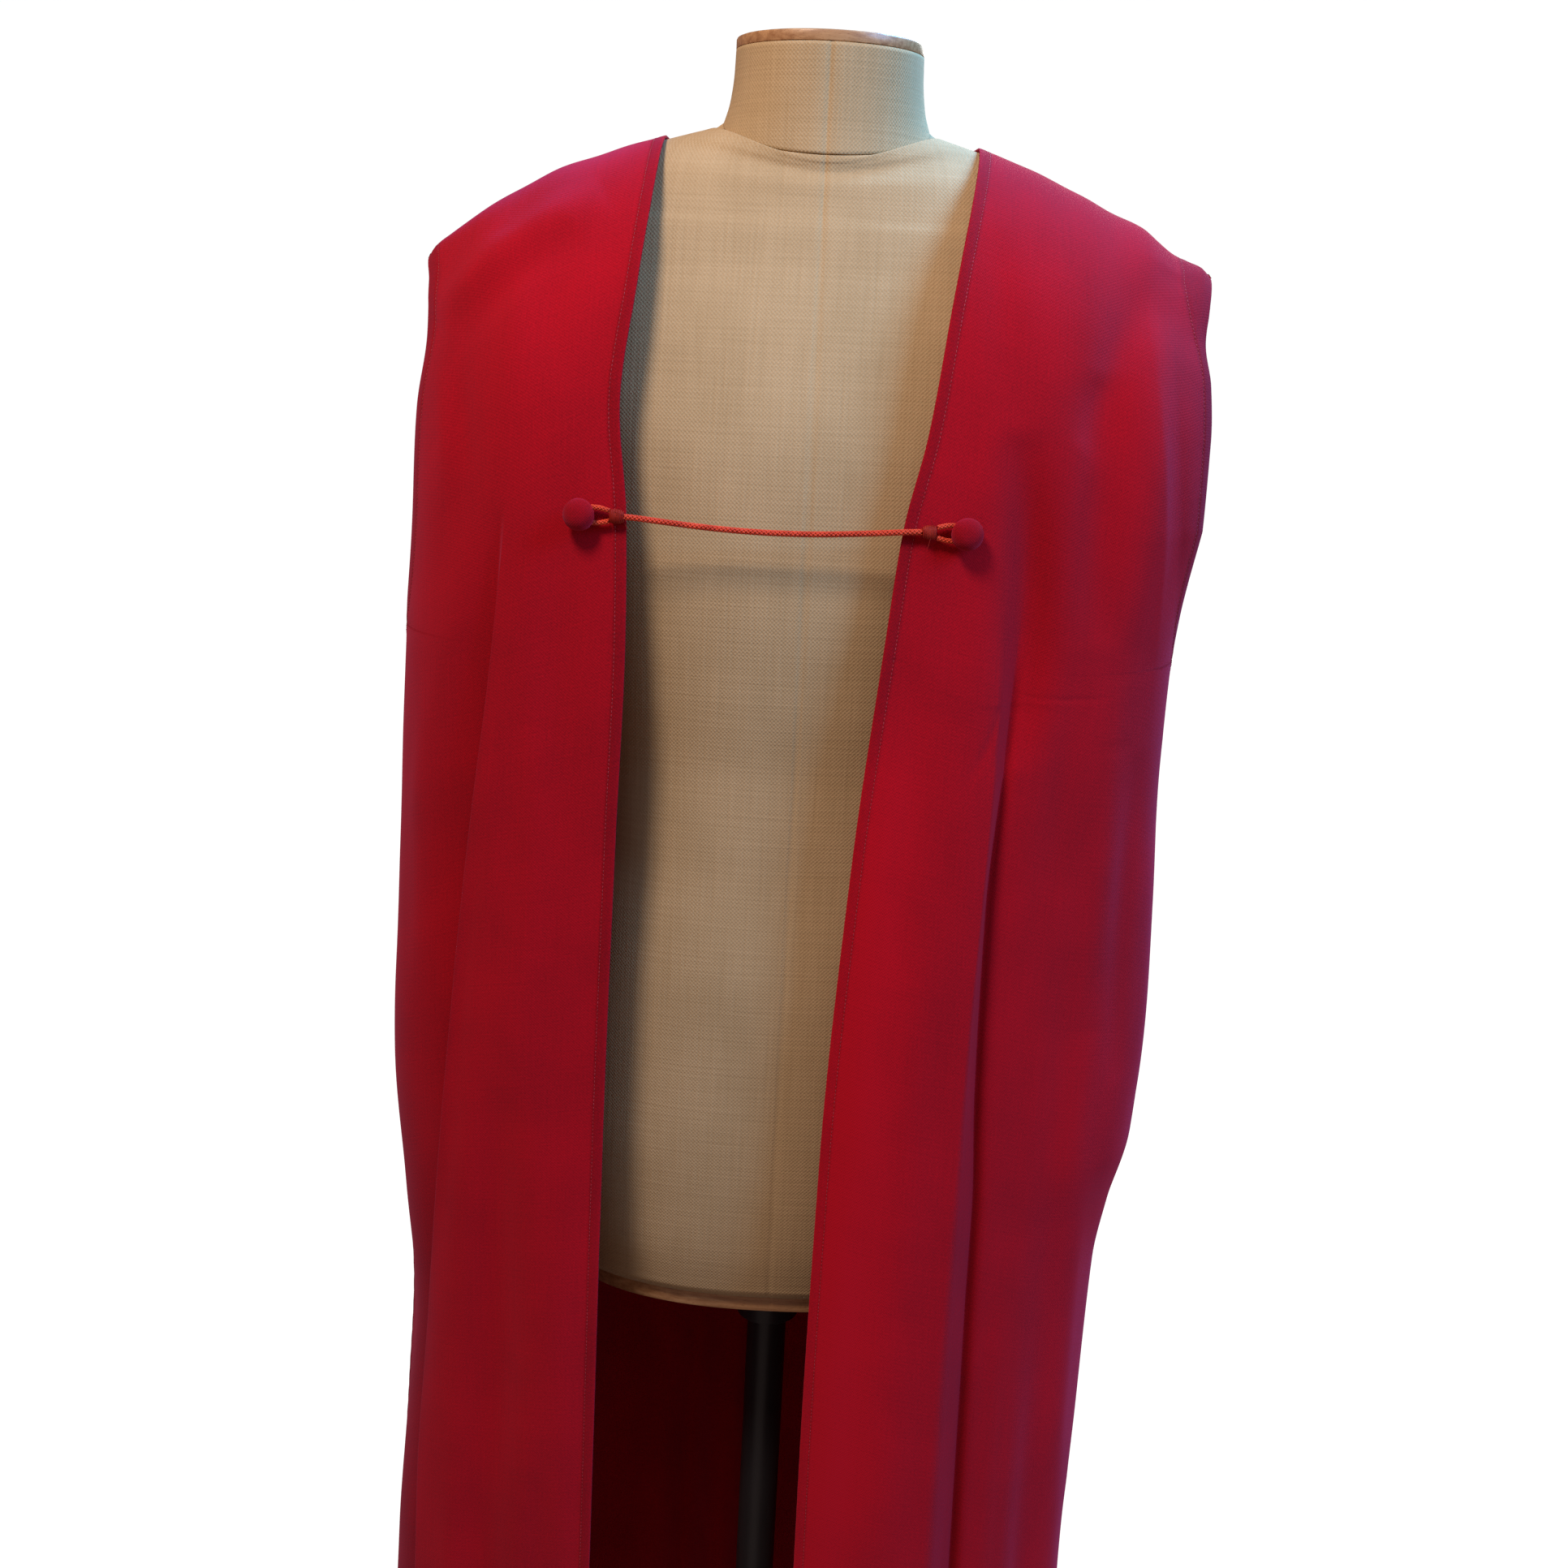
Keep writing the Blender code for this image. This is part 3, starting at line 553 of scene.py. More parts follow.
# %% Note how wide and how deep it hangs
# How far out the sides hang: pulled in at the hip, and wider below it
REACH = {
    RIGHT: table(
        "height reach",
        (HEM, 0.2720),
        (0.510, 0.2640),
        (0.610, 0.2590),
        (0.690, 0.2555),
        (0.780, 0.2605),
        (0.880, 0.2650),
        (1.000, 0.2620),
        (UNDERARM, 0.2560),
        (CHEST, 0.2530),
    ),
    LEFT: table(
        "height reach",
        (HEM, 0.2370),
        (0.540, 0.2235),
        (0.640, 0.2265),
        (0.750, 0.2280),
        (0.800, 0.2335),
        (0.850, 0.2445),
        (0.920, 0.2470),
        (1.010, 0.2440),
        (1.100, 0.2400),
        (UNDERARM, 0.2420),
        (CHEST, 0.2550),
    ),
}
DEPTH = table(  # how far the front and the back are from the seams' plane
    "height front back",
    (HEM, 0.158, 0.205),
    (0.600, 0.142, 0.172),
    (0.900, 0.132, 0.148),
    (1.060, 0.129, 0.135),
    (CHEST, 0.128, 0.128),
)
print("the hem is", round(sum(rows["reach"][0] for rows in REACH.values()), 3), "m wide")

# %% Note where its edges run
# Where the front edges run
EDGE = {
    RIGHT: table(
        "height across",
        (HEM, 0.1120),
        (0.870, 0.1100),
        (1.050, 0.1075),
        (1.180, 0.1045),
        (CHEST, 0.1060),
        (1.320, 0.1120),
        (1.390, 0.1050),
        (1.450, 0.0995),
        (1.479, 0.0980),
    ),
    LEFT: table(
        "height across",
        (HEM, 0.0280),
        (0.650, 0.0250),
        (0.860, 0.0274),
        (1.055, 0.0370),
        (1.196, 0.0495),
        (CHEST, 0.0556),
        (1.310, 0.0666),
        (1.390, 0.0778),
        (1.4807, 0.0940),
    ),
}
apart = sum(rows["across"][0] for rows in EDGE.values())
print("at the hem the fronts are", round(float(apart), 3), "m apart")

# %% Note its shoulders, neckline and armholes
NECK = {RIGHT: 0.0980, LEFT: 0.0940}  # the inner end of each shoulder seam
TIP = {RIGHT: 0.2450, LEFT: 0.2450}  # and its outer end
SHOULDER = {
    RIGHT: table(
        "across height",
        (0.000, 1.4902),
        (0.050, 1.4895),
        (0.098, 1.4790),
        (0.134, 1.4675),
        (0.164, 1.4560),
        (0.189, 1.4430),
        (0.215, 1.4262),
        (0.232, 1.4139),
        (0.240, 1.4072),
        (0.245, 1.3990),
    ),
    LEFT: table(
        "across height",
        (0.000, 1.4902),
        (0.050, 1.4895),
        (0.094, 1.4807),
        (0.138, 1.4641),
        (0.167, 1.4520),
        (0.196, 1.4388),
        (0.207, 1.4310),
        (0.218, 1.4240),
        (0.228, 1.4200),
        (0.238, 1.4165),
        (0.245, 1.4095),
    ),
}
# How far the fronts' edges at the armholes are drawn in, above the chest
TUCK = {
    RIGHT: table(
        "height in",
        (CHEST, 0.0),
        (1.310, 0.0020),
        (1.352, 0.0062),
        (1.385, 0.0040),
        (1.399, 0.0),
    ),
    LEFT: table(
        "height in",
        (CHEST, 0.0),
        (1.310, 0.0),
        (1.345, 0.0020),
        (1.370, 0.0060),
        (1.390, 0.0035),
        (1.4095, 0.0),
    ),
}
NAPE = 0.080  # how far back the neckline reaches
NECK_SQUARE = 2.3  # how square the neckline's round is
ARM_FRONT = math.radians(15)  # how far the armhole reaches round the front
ARM_BACK = math.radians(19)
ARM_SQUARE = 2.2  # how square the armhole's bottom is
print("the shoulders' tips are", [float(SHOULDER[s]["height"][-1]) for s in (RIGHT, LEFT)], "m up")

# %% [markdown]
# ## The main folds
#
# Three folds give this robe its look. On the wearer's left a roll stands out down the middle of the
# front. It turns over a soft brow into a straight flank, which lies in shadow down to a sharp
# crease, and beyond that the cloth rises at once to a crest. On the wearer's right the cloth drops
# over a lip into another long crease, and comes back slowly from it. A third, softer drop runs
# beside the left armhole. Broad troughs run down to the hem, and the back, which nothing holds,
# hangs in seven tall flutes.
#
# Each fold is a line of heights, with its depth and how far it reaches. Columns of points run along
# the two sharp ones, because a fold that cuts across the columns comes out with a toothed edge.

# %% Note the crease by the right arm
ARM_CREASE = table(
    "height across depth reach",
    (HEM, 0.2470, 0.0, 0.020),
    (0.400, 0.2440, 0.0030, 0.025),
    (0.620, 0.2400, 0.0095, 0.035),
    (0.740, 0.2325, 0.0125, 0.040),
    (0.860, 0.2225, 0.0135, 0.045),
    (0.955, 0.2145, 0.0140, 0.045),
    (1.020, 0.2080, 0.0135, 0.045),
    (1.100, 0.1985, 0.0115, 0.040),
    (1.150, 0.1925, 0.0085, 0.032),
    (1.220, 0.1855, 0.0035, 0.022),
    (CHEST, 0.1820, 0.0, 0.020),
)
LIP = 0.003  # width of the cloth's drop into it
print("the crease is up to", float(ARM_CREASE["depth"].max()), "m deep")

# %% Note the roll and the crease beside it
BROW = table(
    "height across swell",
    (HEM, 0.1035, 0.0190),
    (0.620, 0.1058, 0.0180),
    (0.750, 0.1072, 0.0165),
    (0.850, 0.1098, 0.0150),
    (0.950, 0.1120, 0.0130),
    (1.030, 0.1150, 0.0110),
    (1.100, 0.1170, 0.0075),
    (1.160, 0.1175, 0.0035),
    (1.220, 0.1160, 0.0),
    (1.270, 0.1140, 0.0),
    (1.330, 0.1120, 0.0),
)
DEEP_CREASE = table(
    "height across depth reach",
    (HEM, 0.1440, 0.0100, 0.070),
    (0.620, 0.1325, 0.0085, 0.075),
    (0.711, 0.1308, 0.0075, 0.075),
    (0.763, 0.1298, 0.0070, 0.075),
    (0.821, 0.1290, 0.0064, 0.070),
    (0.904, 0.1245, 0.0054, 0.060),
    (0.963, 0.1230, 0.0048, 0.055),
    (1.024, 0.1224, 0.0042, 0.050),
    (1.089, 0.1254, 0.0042, 0.045),
    (1.125, 0.1285, 0.0042, 0.042),
    (1.155, 0.1310, 0.0036, 0.038),
    (1.190, 0.1325, 0.0012, 0.035),
    (1.225, 0.1330, 0.0, 0.035),
    (1.330, 0.1300, 0.0, 0.035),
)
CREST = 0.0060  # from the crease out to the crest beside it
CREST_SHARE = 0.65  # of the crease's depth, which the crest comes up by
ROLL_ROUND = 2.4  # how quickly the roll comes up from the front edge
LINE_SHARES = {RIGHT: (0.50, 0.52), LEFT: (0.30, 0.36)}  # the folds' ends, along the shoulders
print("the roll stands out", float(BROW["swell"].max()), "m at the hem")

# %% Note the drop beside the left armhole
ARM_LIP = table(
    "height across depth reach",
    (1.120, 0.2385, 0.0, 0.020),
    (1.156, 0.2382, 0.0006, 0.020),
    (1.183, 0.2372, 0.0013, 0.022),
    (1.210, 0.2358, 0.0023, 0.026),
    (1.237, 0.2340, 0.0032, 0.032),
    (1.261, 0.2315, 0.0036, 0.036),
    (1.302, 0.2258, 0.0034, 0.040),
    (1.324, 0.2220, 0.0028, 0.040),
    (1.357, 0.2175, 0.0018, 0.040),
    (1.400, 0.2140, 0.0, 0.040),
)
ARM_LIP_WIDE = 0.016  # width of the drop beside the left armhole
print("the drop is up to", float(ARM_LIP["depth"].max()), "m deep")

# %% Note the troughs and the flutes
FRONT_TROUGHS = {
    RIGHT: table(
        "height across depth",
        (HEM, 0.192, 0.014),
        (0.600, 0.184, 0.007),
        (0.860, 0.180, 0.001),
        (0.930, 0.180, 0.0),
    ),
    LEFT: table(
        "height across depth",
        (HEM, 0.1960, 0.013),
        (0.620, 0.1880, 0.007),
        (0.900, 0.1800, 0.0),
    ),
}
TROUGH_WIDTH = {RIGHT: 0.032, LEFT: 0.024}
BACK_TROUGHS = table(  # top, hem and width in degrees from the middle of the back
    "top hem width starts depth",
    (-62, -66, 13, 1.12, 0.018),
    (-43, -47, 11, 1.30, 0.026),
    (-24, -26, 10, 1.22, 0.020),
    (-6, -9, 11, 1.34, 0.030),
    (14, 13, 9, 1.16, 0.019),
    (31, 35, 12, 1.32, 0.028),
    (52, 57, 12, 1.20, 0.022),
)
BACK_SWELL = 0.010  # how far the back stands out between them at the hem
SEAM_CALM = 0.030  # folds of the fronts die out this near the side seams
SHOULDER_CALM = 6  # and so many times nearer to the shoulder seams
print("flutes in the back:", len(BACK_TROUGHS["top"]))

# %% [markdown]
# ## Rows and columns of the cloth
#
# A cloth that is to show hems and stitches needs points close together at its edges and can have
# them further apart in its middle. So each row is first drawn densely, then its points are placed
# by distance along the cloth: close at the front edge and the armhole, even between.

# %% Choose places along the rows
DENSE = 14  # points drawn for each column of the solids
SOLID_STEPS = {RIGHT: (7, 1, 6), LEFT: (6, 4, 9)}
LINE_STEPS = {side: tuple(DENSE * n for n in steps) for side, steps in SOLID_STEPS.items()}
NECK_COLUMNS = 9 * DENSE
WING = {RIGHT: 12 * DENSE, LEFT: 14 * DENSE}

EDGE_PLACES = np.array([0, 0.15, 0.45, 1.2, 2.6, 4.4, 5.7, 6.3, 6.9, 7.6, 8.2, 9.0, 11.0]) * MM
ARM_PLACES = np.array([0, 0.15, 0.45, 1.3, 3.0, 6.0, 9.5, 11.3, 12.0, 12.7, 13.4, 14.4, 17.0]) * MM
LINE_PLACES = np.array([0, 0.5, 1.3, 2.6, 4.5]) * MM
NO_PLACES = np.array([0.0])
FRONT_LAYOUT = {
    RIGHT: (
        (EDGE_PLACES, 30, LINE_PLACES),
        (NO_PLACES, 4, NO_PLACES),
        (LINE_PLACES, 22, ARM_PLACES),
    ),
    LEFT: (
        (EDGE_PLACES, 28, NO_PLACES),
        (NO_PLACES, 12, LINE_PLACES),
        (LINE_PLACES, 50, ARM_PLACES),
    ),
}
BACK_LAYOUT = ((ARM_PLACES, 40, NO_PLACES), (NO_PLACES, 40, NO_PLACES))
print("columns drawn for each of the solids' columns:", DENSE)

# %% Choose the rows' heights
FIRST_DROPS = [0, 0.0015, 0.004, 0.008, 0.013, 0.02, 0.03, 0.045]
DROPS = np.concatenate([FIRST_DROPS, np.linspace(0.065, 1, 56)])
HEM_PLACES = np.array([0, 0.15, 0.45, 1.3, 6.0, 14.0, 22.5, 23.7, 24.3, 24.9, 25.6, 26.6]) * MM


def levels(step):
    """Heights of the rows from under the chest to the hem, closer at the underarm and the hem."""
    arm = np.arange(CHEST - step, UNDERARM + 0.009, -step)
    under = UNDERARM + np.arange(6, -14, -1) * 1.5 * MM
    skirt = np.linspace(under[-1], HEM + HEM_PLACES[-1], int((under[-1] - HEM) / step))[1:]
    return np.concatenate([arm, under, skirt, HEM + HEM_PLACES[-2::-1]])


FRONT_LEVELS = levels(4.6 * MM)
BACK_LEVELS = levels(6.9 * MM)
print("rows of a front:", len(DROPS) + len(FRONT_LEVELS))

# %% Place the points of each row
def placed(length, start, count, end):
    """Places along a stretch of cloth: given ones at its two ends, and count between them."""
    scale = min(1, 0.45 * length / max(start[-1], end[-1], 1e-6))
    first = start * scale
    last = length - end[::-1] * scale
    return np.concatenate([first, np.linspace(first[-1], last[0], count + 2)[1:-1], last])


def relaid(grid, stops, layout):
    """A grid whose columns lie at given distances along each row, between its stop columns."""
    rows = []
    for row in grid:
        parts = []
        for a, b, places in zip(stops, stops[1:], layout):
            piece = row[a : b + 1]
            along = lengths_along(piece)
            at = placed(along[-1], *places)[:-1]
            parts.append(points_at(piece, along, at))
        rows.append(np.concatenate([*parts, row[-1:]]))
    return np.array(rows)


print("a 10 mm stretch with its ends and one point between:", placed(10, NO_PLACES, 1, NO_PLACES))

# %% [markdown]
# ## The robe before its folds
#
# From the chest down, a row goes round the squared oval at one height. Above the chest the cloth
# curves over to the ridge of the shoulder, where the fronts and the back are sewn together.

# %% Draw the robe's round and its fall from the shoulder
def ridge(side, across):
    """Height of the top of the shoulder."""
    return follow(SHOULDER[side], "height", across, "across")


def turn_at(side, across, height):
    """How far round the robe a place on its front is, in radians from the middle of the front."""
    return np.arcsin((across / follow(REACH[side], "reach", height)) ** (SQUARE / 2))


def hanging(side, turn, height):
    """A point of the robe's round, turn radians from the middle of the front."""
    front, back = follow_each(DEPTH, "front back", height)
    across = side * follow(REACH[side], "reach", height) * np.sin(turn) ** (2 / SQUARE)
    along = np.abs(np.cos(turn)) ** (2 / SQUARE)
    depth = np.where(turn < math.pi / 2, -front * along, back * along)
    return np.stack([across, depth, height + 0 * turn], axis=-1)


def spread(stops, steps):
    """Places from the first stop to the last, each stretch cut into its own number of steps."""
    parts = [a + (b - a) * np.arange(n) / n for a, b, n in zip(stops, stops[1:], steps)]
    return np.concatenate([*parts, stops[-1:]])


def falling(top, chest, drop, square):
    """Depth and height of points on the way from the shoulder to the chest, drop 0 to 1."""
    angle = drop * math.pi / 2
    depth = chest[:, 1] * np.sin(angle) ** (2 / square)
    height = CHEST + (top - CHEST) * np.cos(angle) ** (2 / square)
    return depth, height


def arm_width(height):
    """1 where the armhole is widest, and 0 at its bottom."""
    down = np.clip((CHEST - height) / (CHEST - UNDERARM), 0, 1)
    return (1 - down**ARM_SQUARE) ** (1 / ARM_SQUARE)


print("the side seam is", hanging(LEFT, math.pi / 2, UNDERARM).round(3).tolist(), "at its top")

# %% Draw a front
def fold_lines(side, height):
    """Where the lines that the front's columns follow are, out from the middle."""
    if side == RIGHT:
        line = follow(ARM_CREASE, "across", height)
        return line - LIP, line
    return follow(BROW, "across", height), follow(DEEP_CREASE, "across", height)


def front_turns(side, height):
    """How far round each column of a front is, at a height from the chest down."""
    across = (follow(EDGE[side], "across", height), *fold_lines(side, height))
    stops = [turn_at(side, x, height) for x in across]
    stops.append(math.pi / 2 - ARM_FRONT * arm_width(height))
    return spread(np.array(stops), LINE_STEPS[side])


def front_grid(side):
    """Rows of points of a front before its folds, from the shoulder seam down."""
    chest = hanging(side, front_turns(side, CHEST), CHEST)
    chest_across = np.abs(chest[:, 0])
    inner, outer = chest_across[[0, -1]]
    chest_share = (chest_across - inner) / (outer - inner)
    seam_share = spread(np.array([0, *LINE_SHARES[side], 1]), LINE_STEPS[side])
    top = ridge(side, NECK[side] + (TIP[side] - NECK[side]) * seam_share)
    rows = []
    for drop in DROPS:
        depth, height = falling(top, chest, drop, FRONT_FALL)
        near = follow(EDGE[side], "across", height[0])
        far = TIP[side] + (outer - TIP[side]) * ease(drop) - follow(TUCK[side], "in", height[-1])
        share = seam_share + (chest_share - seam_share) * drop
        rows.append(np.stack([side * (near + (far - near) * share), depth, height], axis=1))
    rows += [hanging(side, front_turns(side, z), z) for z in FRONT_LEVELS]
    stops = np.concatenate([[0], np.cumsum(LINE_STEPS[side])])
    return relaid(rows, stops, FRONT_LAYOUT[side])


print("a front has", front_grid(LEFT).shape[:2], "rows and columns")

# %% Draw the back
def back_turns(side, height):
    """How far round each column of half the back is, from the armhole or the side seam."""
    arm = math.pi / 2 + ARM_BACK * arm_width(height)
    neck = math.pi - turn_at(side, NECK[side], height)
    return spread(np.array([arm, neck, math.pi]), (WING[side], NECK_COLUMNS - 1))


def back_half(side):
    """Rows of points of half the back before its folds, from the shoulders down."""
    chest = hanging(side, back_turns(side, CHEST), CHEST)
    round_neck = np.linspace(0, math.pi / 2, NECK_COLUMNS)[1:]
    seam = np.linspace(TIP[side], NECK[side], WING[side] + 1)
    neckline = NECK[side] * np.cos(round_neck) ** (2 / NECK_SQUARE)
    across = np.concatenate([seam, neckline])
    dip = np.concatenate([0 * seam, NAPE * np.sin(round_neck) ** (2 / NECK_SQUARE)])
    start = np.arcsin((dip / chest[:, 1]) ** (BACK_FALL / 2)) / (math.pi / 2)
    rows = []
    for drop in DROPS:
        depth, height = falling(
            ridge(side, across), chest, start + (1 - start) * drop, BACK_FALL
        )
        x = side * across + (chest[:, 0] - side * across) * ease(drop)
        rows.append(np.stack([x, depth, height], axis=1))
    rows += [hanging(side, back_turns(side, z), z) for z in BACK_LEVELS]
    stops = np.array([0, WING[side], len(across) - 1])
    return relaid(rows, stops, BACK_LAYOUT)


def normals(grid):
    """Unit normals of a grid, pointing out of the robe."""
    return unit(np.cross(np.gradient(grid, axis=0), np.gradient(grid, axis=1)))


print("half the back has", back_half(LEFT).shape[:2], "rows and columns")

# %% [markdown]
# ## The fastening cord
#
# The cord hangs free between its two bindings, so its length is that of the solid: 174 mm from end
# to end, straight out of each binding and with a slight sag between. It is a hollow round braid of
# eight yarns, four of which run round it one way and four the other. Each goes over one and under
# the next, as dancers do round a maypole, so a yarn's distance from the middle swings out and in
# four times a turn, and where those of one hand are out, those of the other are in.

# %% Note the fastening's measures
BUTTON_ACROSS = {RIGHT: 0.1320, LEFT: 0.0917}
CORD = 0.0019  # radius of the cord
LOOP = 0.0016  # radius of the cord's loops
LOOP_OUT = 0.0034  # how far the loops' middle is from the cloth
LOOP_ROUND = 0.0046  # radius of the loops' turn round the shank
LOOP_SPREAD = 0.0030  # half the distance between a loop's two ends
LOOP_BULGE = 0.0008  # how far its legs bow apart
LOOP_TURN = np.radians(np.arange(75, 286, 30))  # of the part that goes round the shank
BINDING_START = 0.0175  # from the button's middle
BINDING_LENGTH = 0.0080
BINDING_PROFILE = table(
    "along wide deep",
    (0.00, 0.0036, 0.0022),
    (0.15, 0.0042, 0.0026),
    (0.50, 0.0044, 0.0028),
    (0.85, 0.0038, 0.0026),
    (1.00, 0.0030, 0.0022),
)
CORD_SAG = 0.0048
CORD_STIFF = 0.018  # how far the cord runs straight on from its bindings
print("the cord is", 2 * CORD / MM, "mm thick and its loops", 2 * LOOP / MM, "mm")

# %% Lay the cord's route
def on_front(side, across, height, out):
    """A point a distance out from a front, at the buttons' level."""
    turn = turn_at(side, across, height)
    small = 0.001
    before, after = (hanging(side, turn + step, height) for step in (-small, small))
    normal = np.cross(after - before, (0, 0, side))
    return (before + after) / 2 + out * normal / np.linalg.norm(normal)


def outwards_at(side, across):
    """The direction straight out of a front, at the buttons' level."""
    foot, tip = (on_front(side, across, CHEST, out) for out in (0, 1))
    return unit(tip - foot)


def binding_ends(side):
    """The two ends of a binding's middle line, the one by the button first."""
    near = BUTTON_ACROSS[side] - BINDING_START
    start = on_front(side, near, CHEST, LOOP_OUT)
    way = on_front(side, near - BINDING_LENGTH, CHEST, LOOP_OUT) - start
    return start, start + unit(way) * BINDING_LENGTH


def along_route(route, step):
    """Points a step apart on the smooth curve through a route's points."""
    route = np.array(route)
    along = lengths_along(route)
    line = table("along x y z", *np.column_stack([along, route]))
    at = np.linspace(0, along[-1], int(along[-1] / step) + 1)
    return np.stack([follow(line, axis, at, "along") for axis in "xyz"], axis=1)


def cord_route():
    """The route's points, from the wearer's right binding to the left one."""
    starts, ends = zip(*(binding_ends(side) for side in (RIGHT, LEFT)))
    ways = [(end - start) / BINDING_LENGTH for start, end in zip(starts, ends)]
    first, last = (end + way * GAP for end, way in zip(ends, ways))
    t = np.linspace(0, 1, 17)[:, None]
    pulls = (first, first + ways[0] * CORD_STIFF, last + ways[1] * CORD_STIFF, last)
    weights = ((1 - t) ** 3, 3 * t * (1 - t) ** 2, 3 * t * t * (1 - t), t**3)
    route = sum(weight * pull for weight, pull in zip(weights, pulls))
    route[:, 2] -= CORD_SAG * np.sin(math.pi * t[:, 0]) ** 2
    return route


def loop_route(side):
    """The route's points of the loop round a button's shank."""
    middle = on_front(side, BUTTON_ACROSS[side], CHEST, LOOP_OUT)
    end = binding_ends(side)[0]
    way = unit(end - middle)
    end = end - way * 2 * GAP
    bend = [middle + LOOP_ROUND * (math.cos(a) * way + math.sin(a) * UP) for a in LOOP_TURN]
    ends = [end + LOOP_SPREAD * UP, end - LOOP_SPREAD * UP]
    upper_leg = (bend[0] + ends[0]) / 2 + LOOP_BULGE * UP
    lower_leg = (bend[-1] + ends[1]) / 2 - LOOP_BULGE * UP
    return [ends[0], upper_leg, *bend, lower_leg, ends[1]]


print("the cord starts at", cord_route()[0].round(4).tolist())

# %% Braid along a line
BRAID_PITCH = 10.4 * MM  # of one turn of a yarn
BRAID_MIDDLE = 1.16 * MM  # of the yarns, from the middle of the braid
BRAID_SWING = 0.32 * MM
YARN_WIDE, YARN_THICK = 0.62 * MM, 0.46 * MM  # half of each
BRAID_TURNED = math.radians(22.5)  # so that two slanted rows face the front
STRAND_SIDES = 6


def swept(centres, outwards, wide, thick, sides=STRAND_SIDES):
    """A strand along a line of points, wide across outwards and thick along it."""
    way = unit(np.gradient(centres, axis=0))
    outwards = np.broadcast_to(outwards, centres.shape)
    out = unit(outwards - np.sum(way * outwards, axis=1)[:, None] * way)
    level = np.cross(way, out)
    wide, thick = (np.broadcast_to(size, len(centres))[:, None, None] for size in (wide, thick))
    turn = turns(sides)[None, :, None]
    spokes = np.cos(turn) * level[:, None] * wide + np.sin(turn) * out[:, None] * thick
    return rings_part(centres[:, None] + spokes)


def braid(points, outwards, scale):
    """The eight yarns and the core of a braid along a line, and how much each point is a crown."""
    way = unit(np.gradient(points, axis=0))
    out = unit(outwards - (way @ outwards)[:, None] * way)
    level = np.cross(way, out)
    turned = lengths_along(points) / (BRAID_PITCH * scale) * FULL_TURN
    parts = [swept(points, outwards, 1.0 * MM * scale, 1.0 * MM * scale, 8)]
    crowns = [np.zeros(len(points) * 8)]
    for hand in (1, -1):
        for yarn in range(4):
            angle = hand * turned + yarn * FULL_TURN / 4
            over = hand * np.cos(4 * angle)
            radius = scale * (BRAID_MIDDLE + BRAID_SWING * over)
            # the crown mark gives painted light on a crown and painted shade where the yarn dives
            # under
            crowns.append(np.repeat(ease(0.5 + 0.5 * over), STRAND_SIDES))
            angle = (angle + BRAID_TURNED)[:, None]
            spoke = np.cos(angle) * out + np.sin(angle) * level
            centres = points + radius[:, None] * spoke
            parts.append(swept(centres, spoke, YARN_WIDE * scale, YARN_THICK * scale))
    return parts, {"crown": np.concatenate(crowns)}


print("a yarn goes once round in", round(BRAID_PITCH / MM, 1), "mm")

# %% Make the cord and its loops
BRAID_STEP = BRAID_PITCH / 38
cord_line = along_route(cord_route(), BRAID_STEP)
cord_length = lengths_along(cord_line)[-1]
parts, crowns = braid(cord_line, np.array([0, -1.0, 0]), 1.0)
cord = make_object("fastening_cord_braid", parts, CORD_YARN, crowns)
stands_for(cord, "red_cord", "fastening_cord")
print("the cord is", round(cord_length * 1000, 1), "mm long")

for word, side in SIDES.items():
    line = along_route(loop_route(side), BRAID_STEP)
    parts, crowns = braid(line, outwards_at(side, BUTTON_ACROSS[side]), LOOP / CORD)
    made = make_object(f"cord_loop_{word}_braid", parts, CORD_YARN, crowns)
    stands_for(made, "red_cord", f"cord_loop_{word}")

# %% [markdown]
# ### Bindings
#
# Where the cord is doubled back into its loop, it is bound with its own yarn, wound by hand: the
# turns are uneven, and cut ends of the yarn stick out of it. The winding is one strand in a helix
# round an oval, and its pitch and its tightness wander a little.

# %% Wind a binding
WINDING_TURNS = 8.5
WINDING_POINTS = 520
WINDING_YARN = 0.52 * MM  # half of its width
WINDING_INSET = 0.45 * MM  # from the binding's surface in to the yarn's middle
WANDERS = 9  # how often the winding changes its slant
CORE_SIDES = 20
FRAYED_ENDS = 7


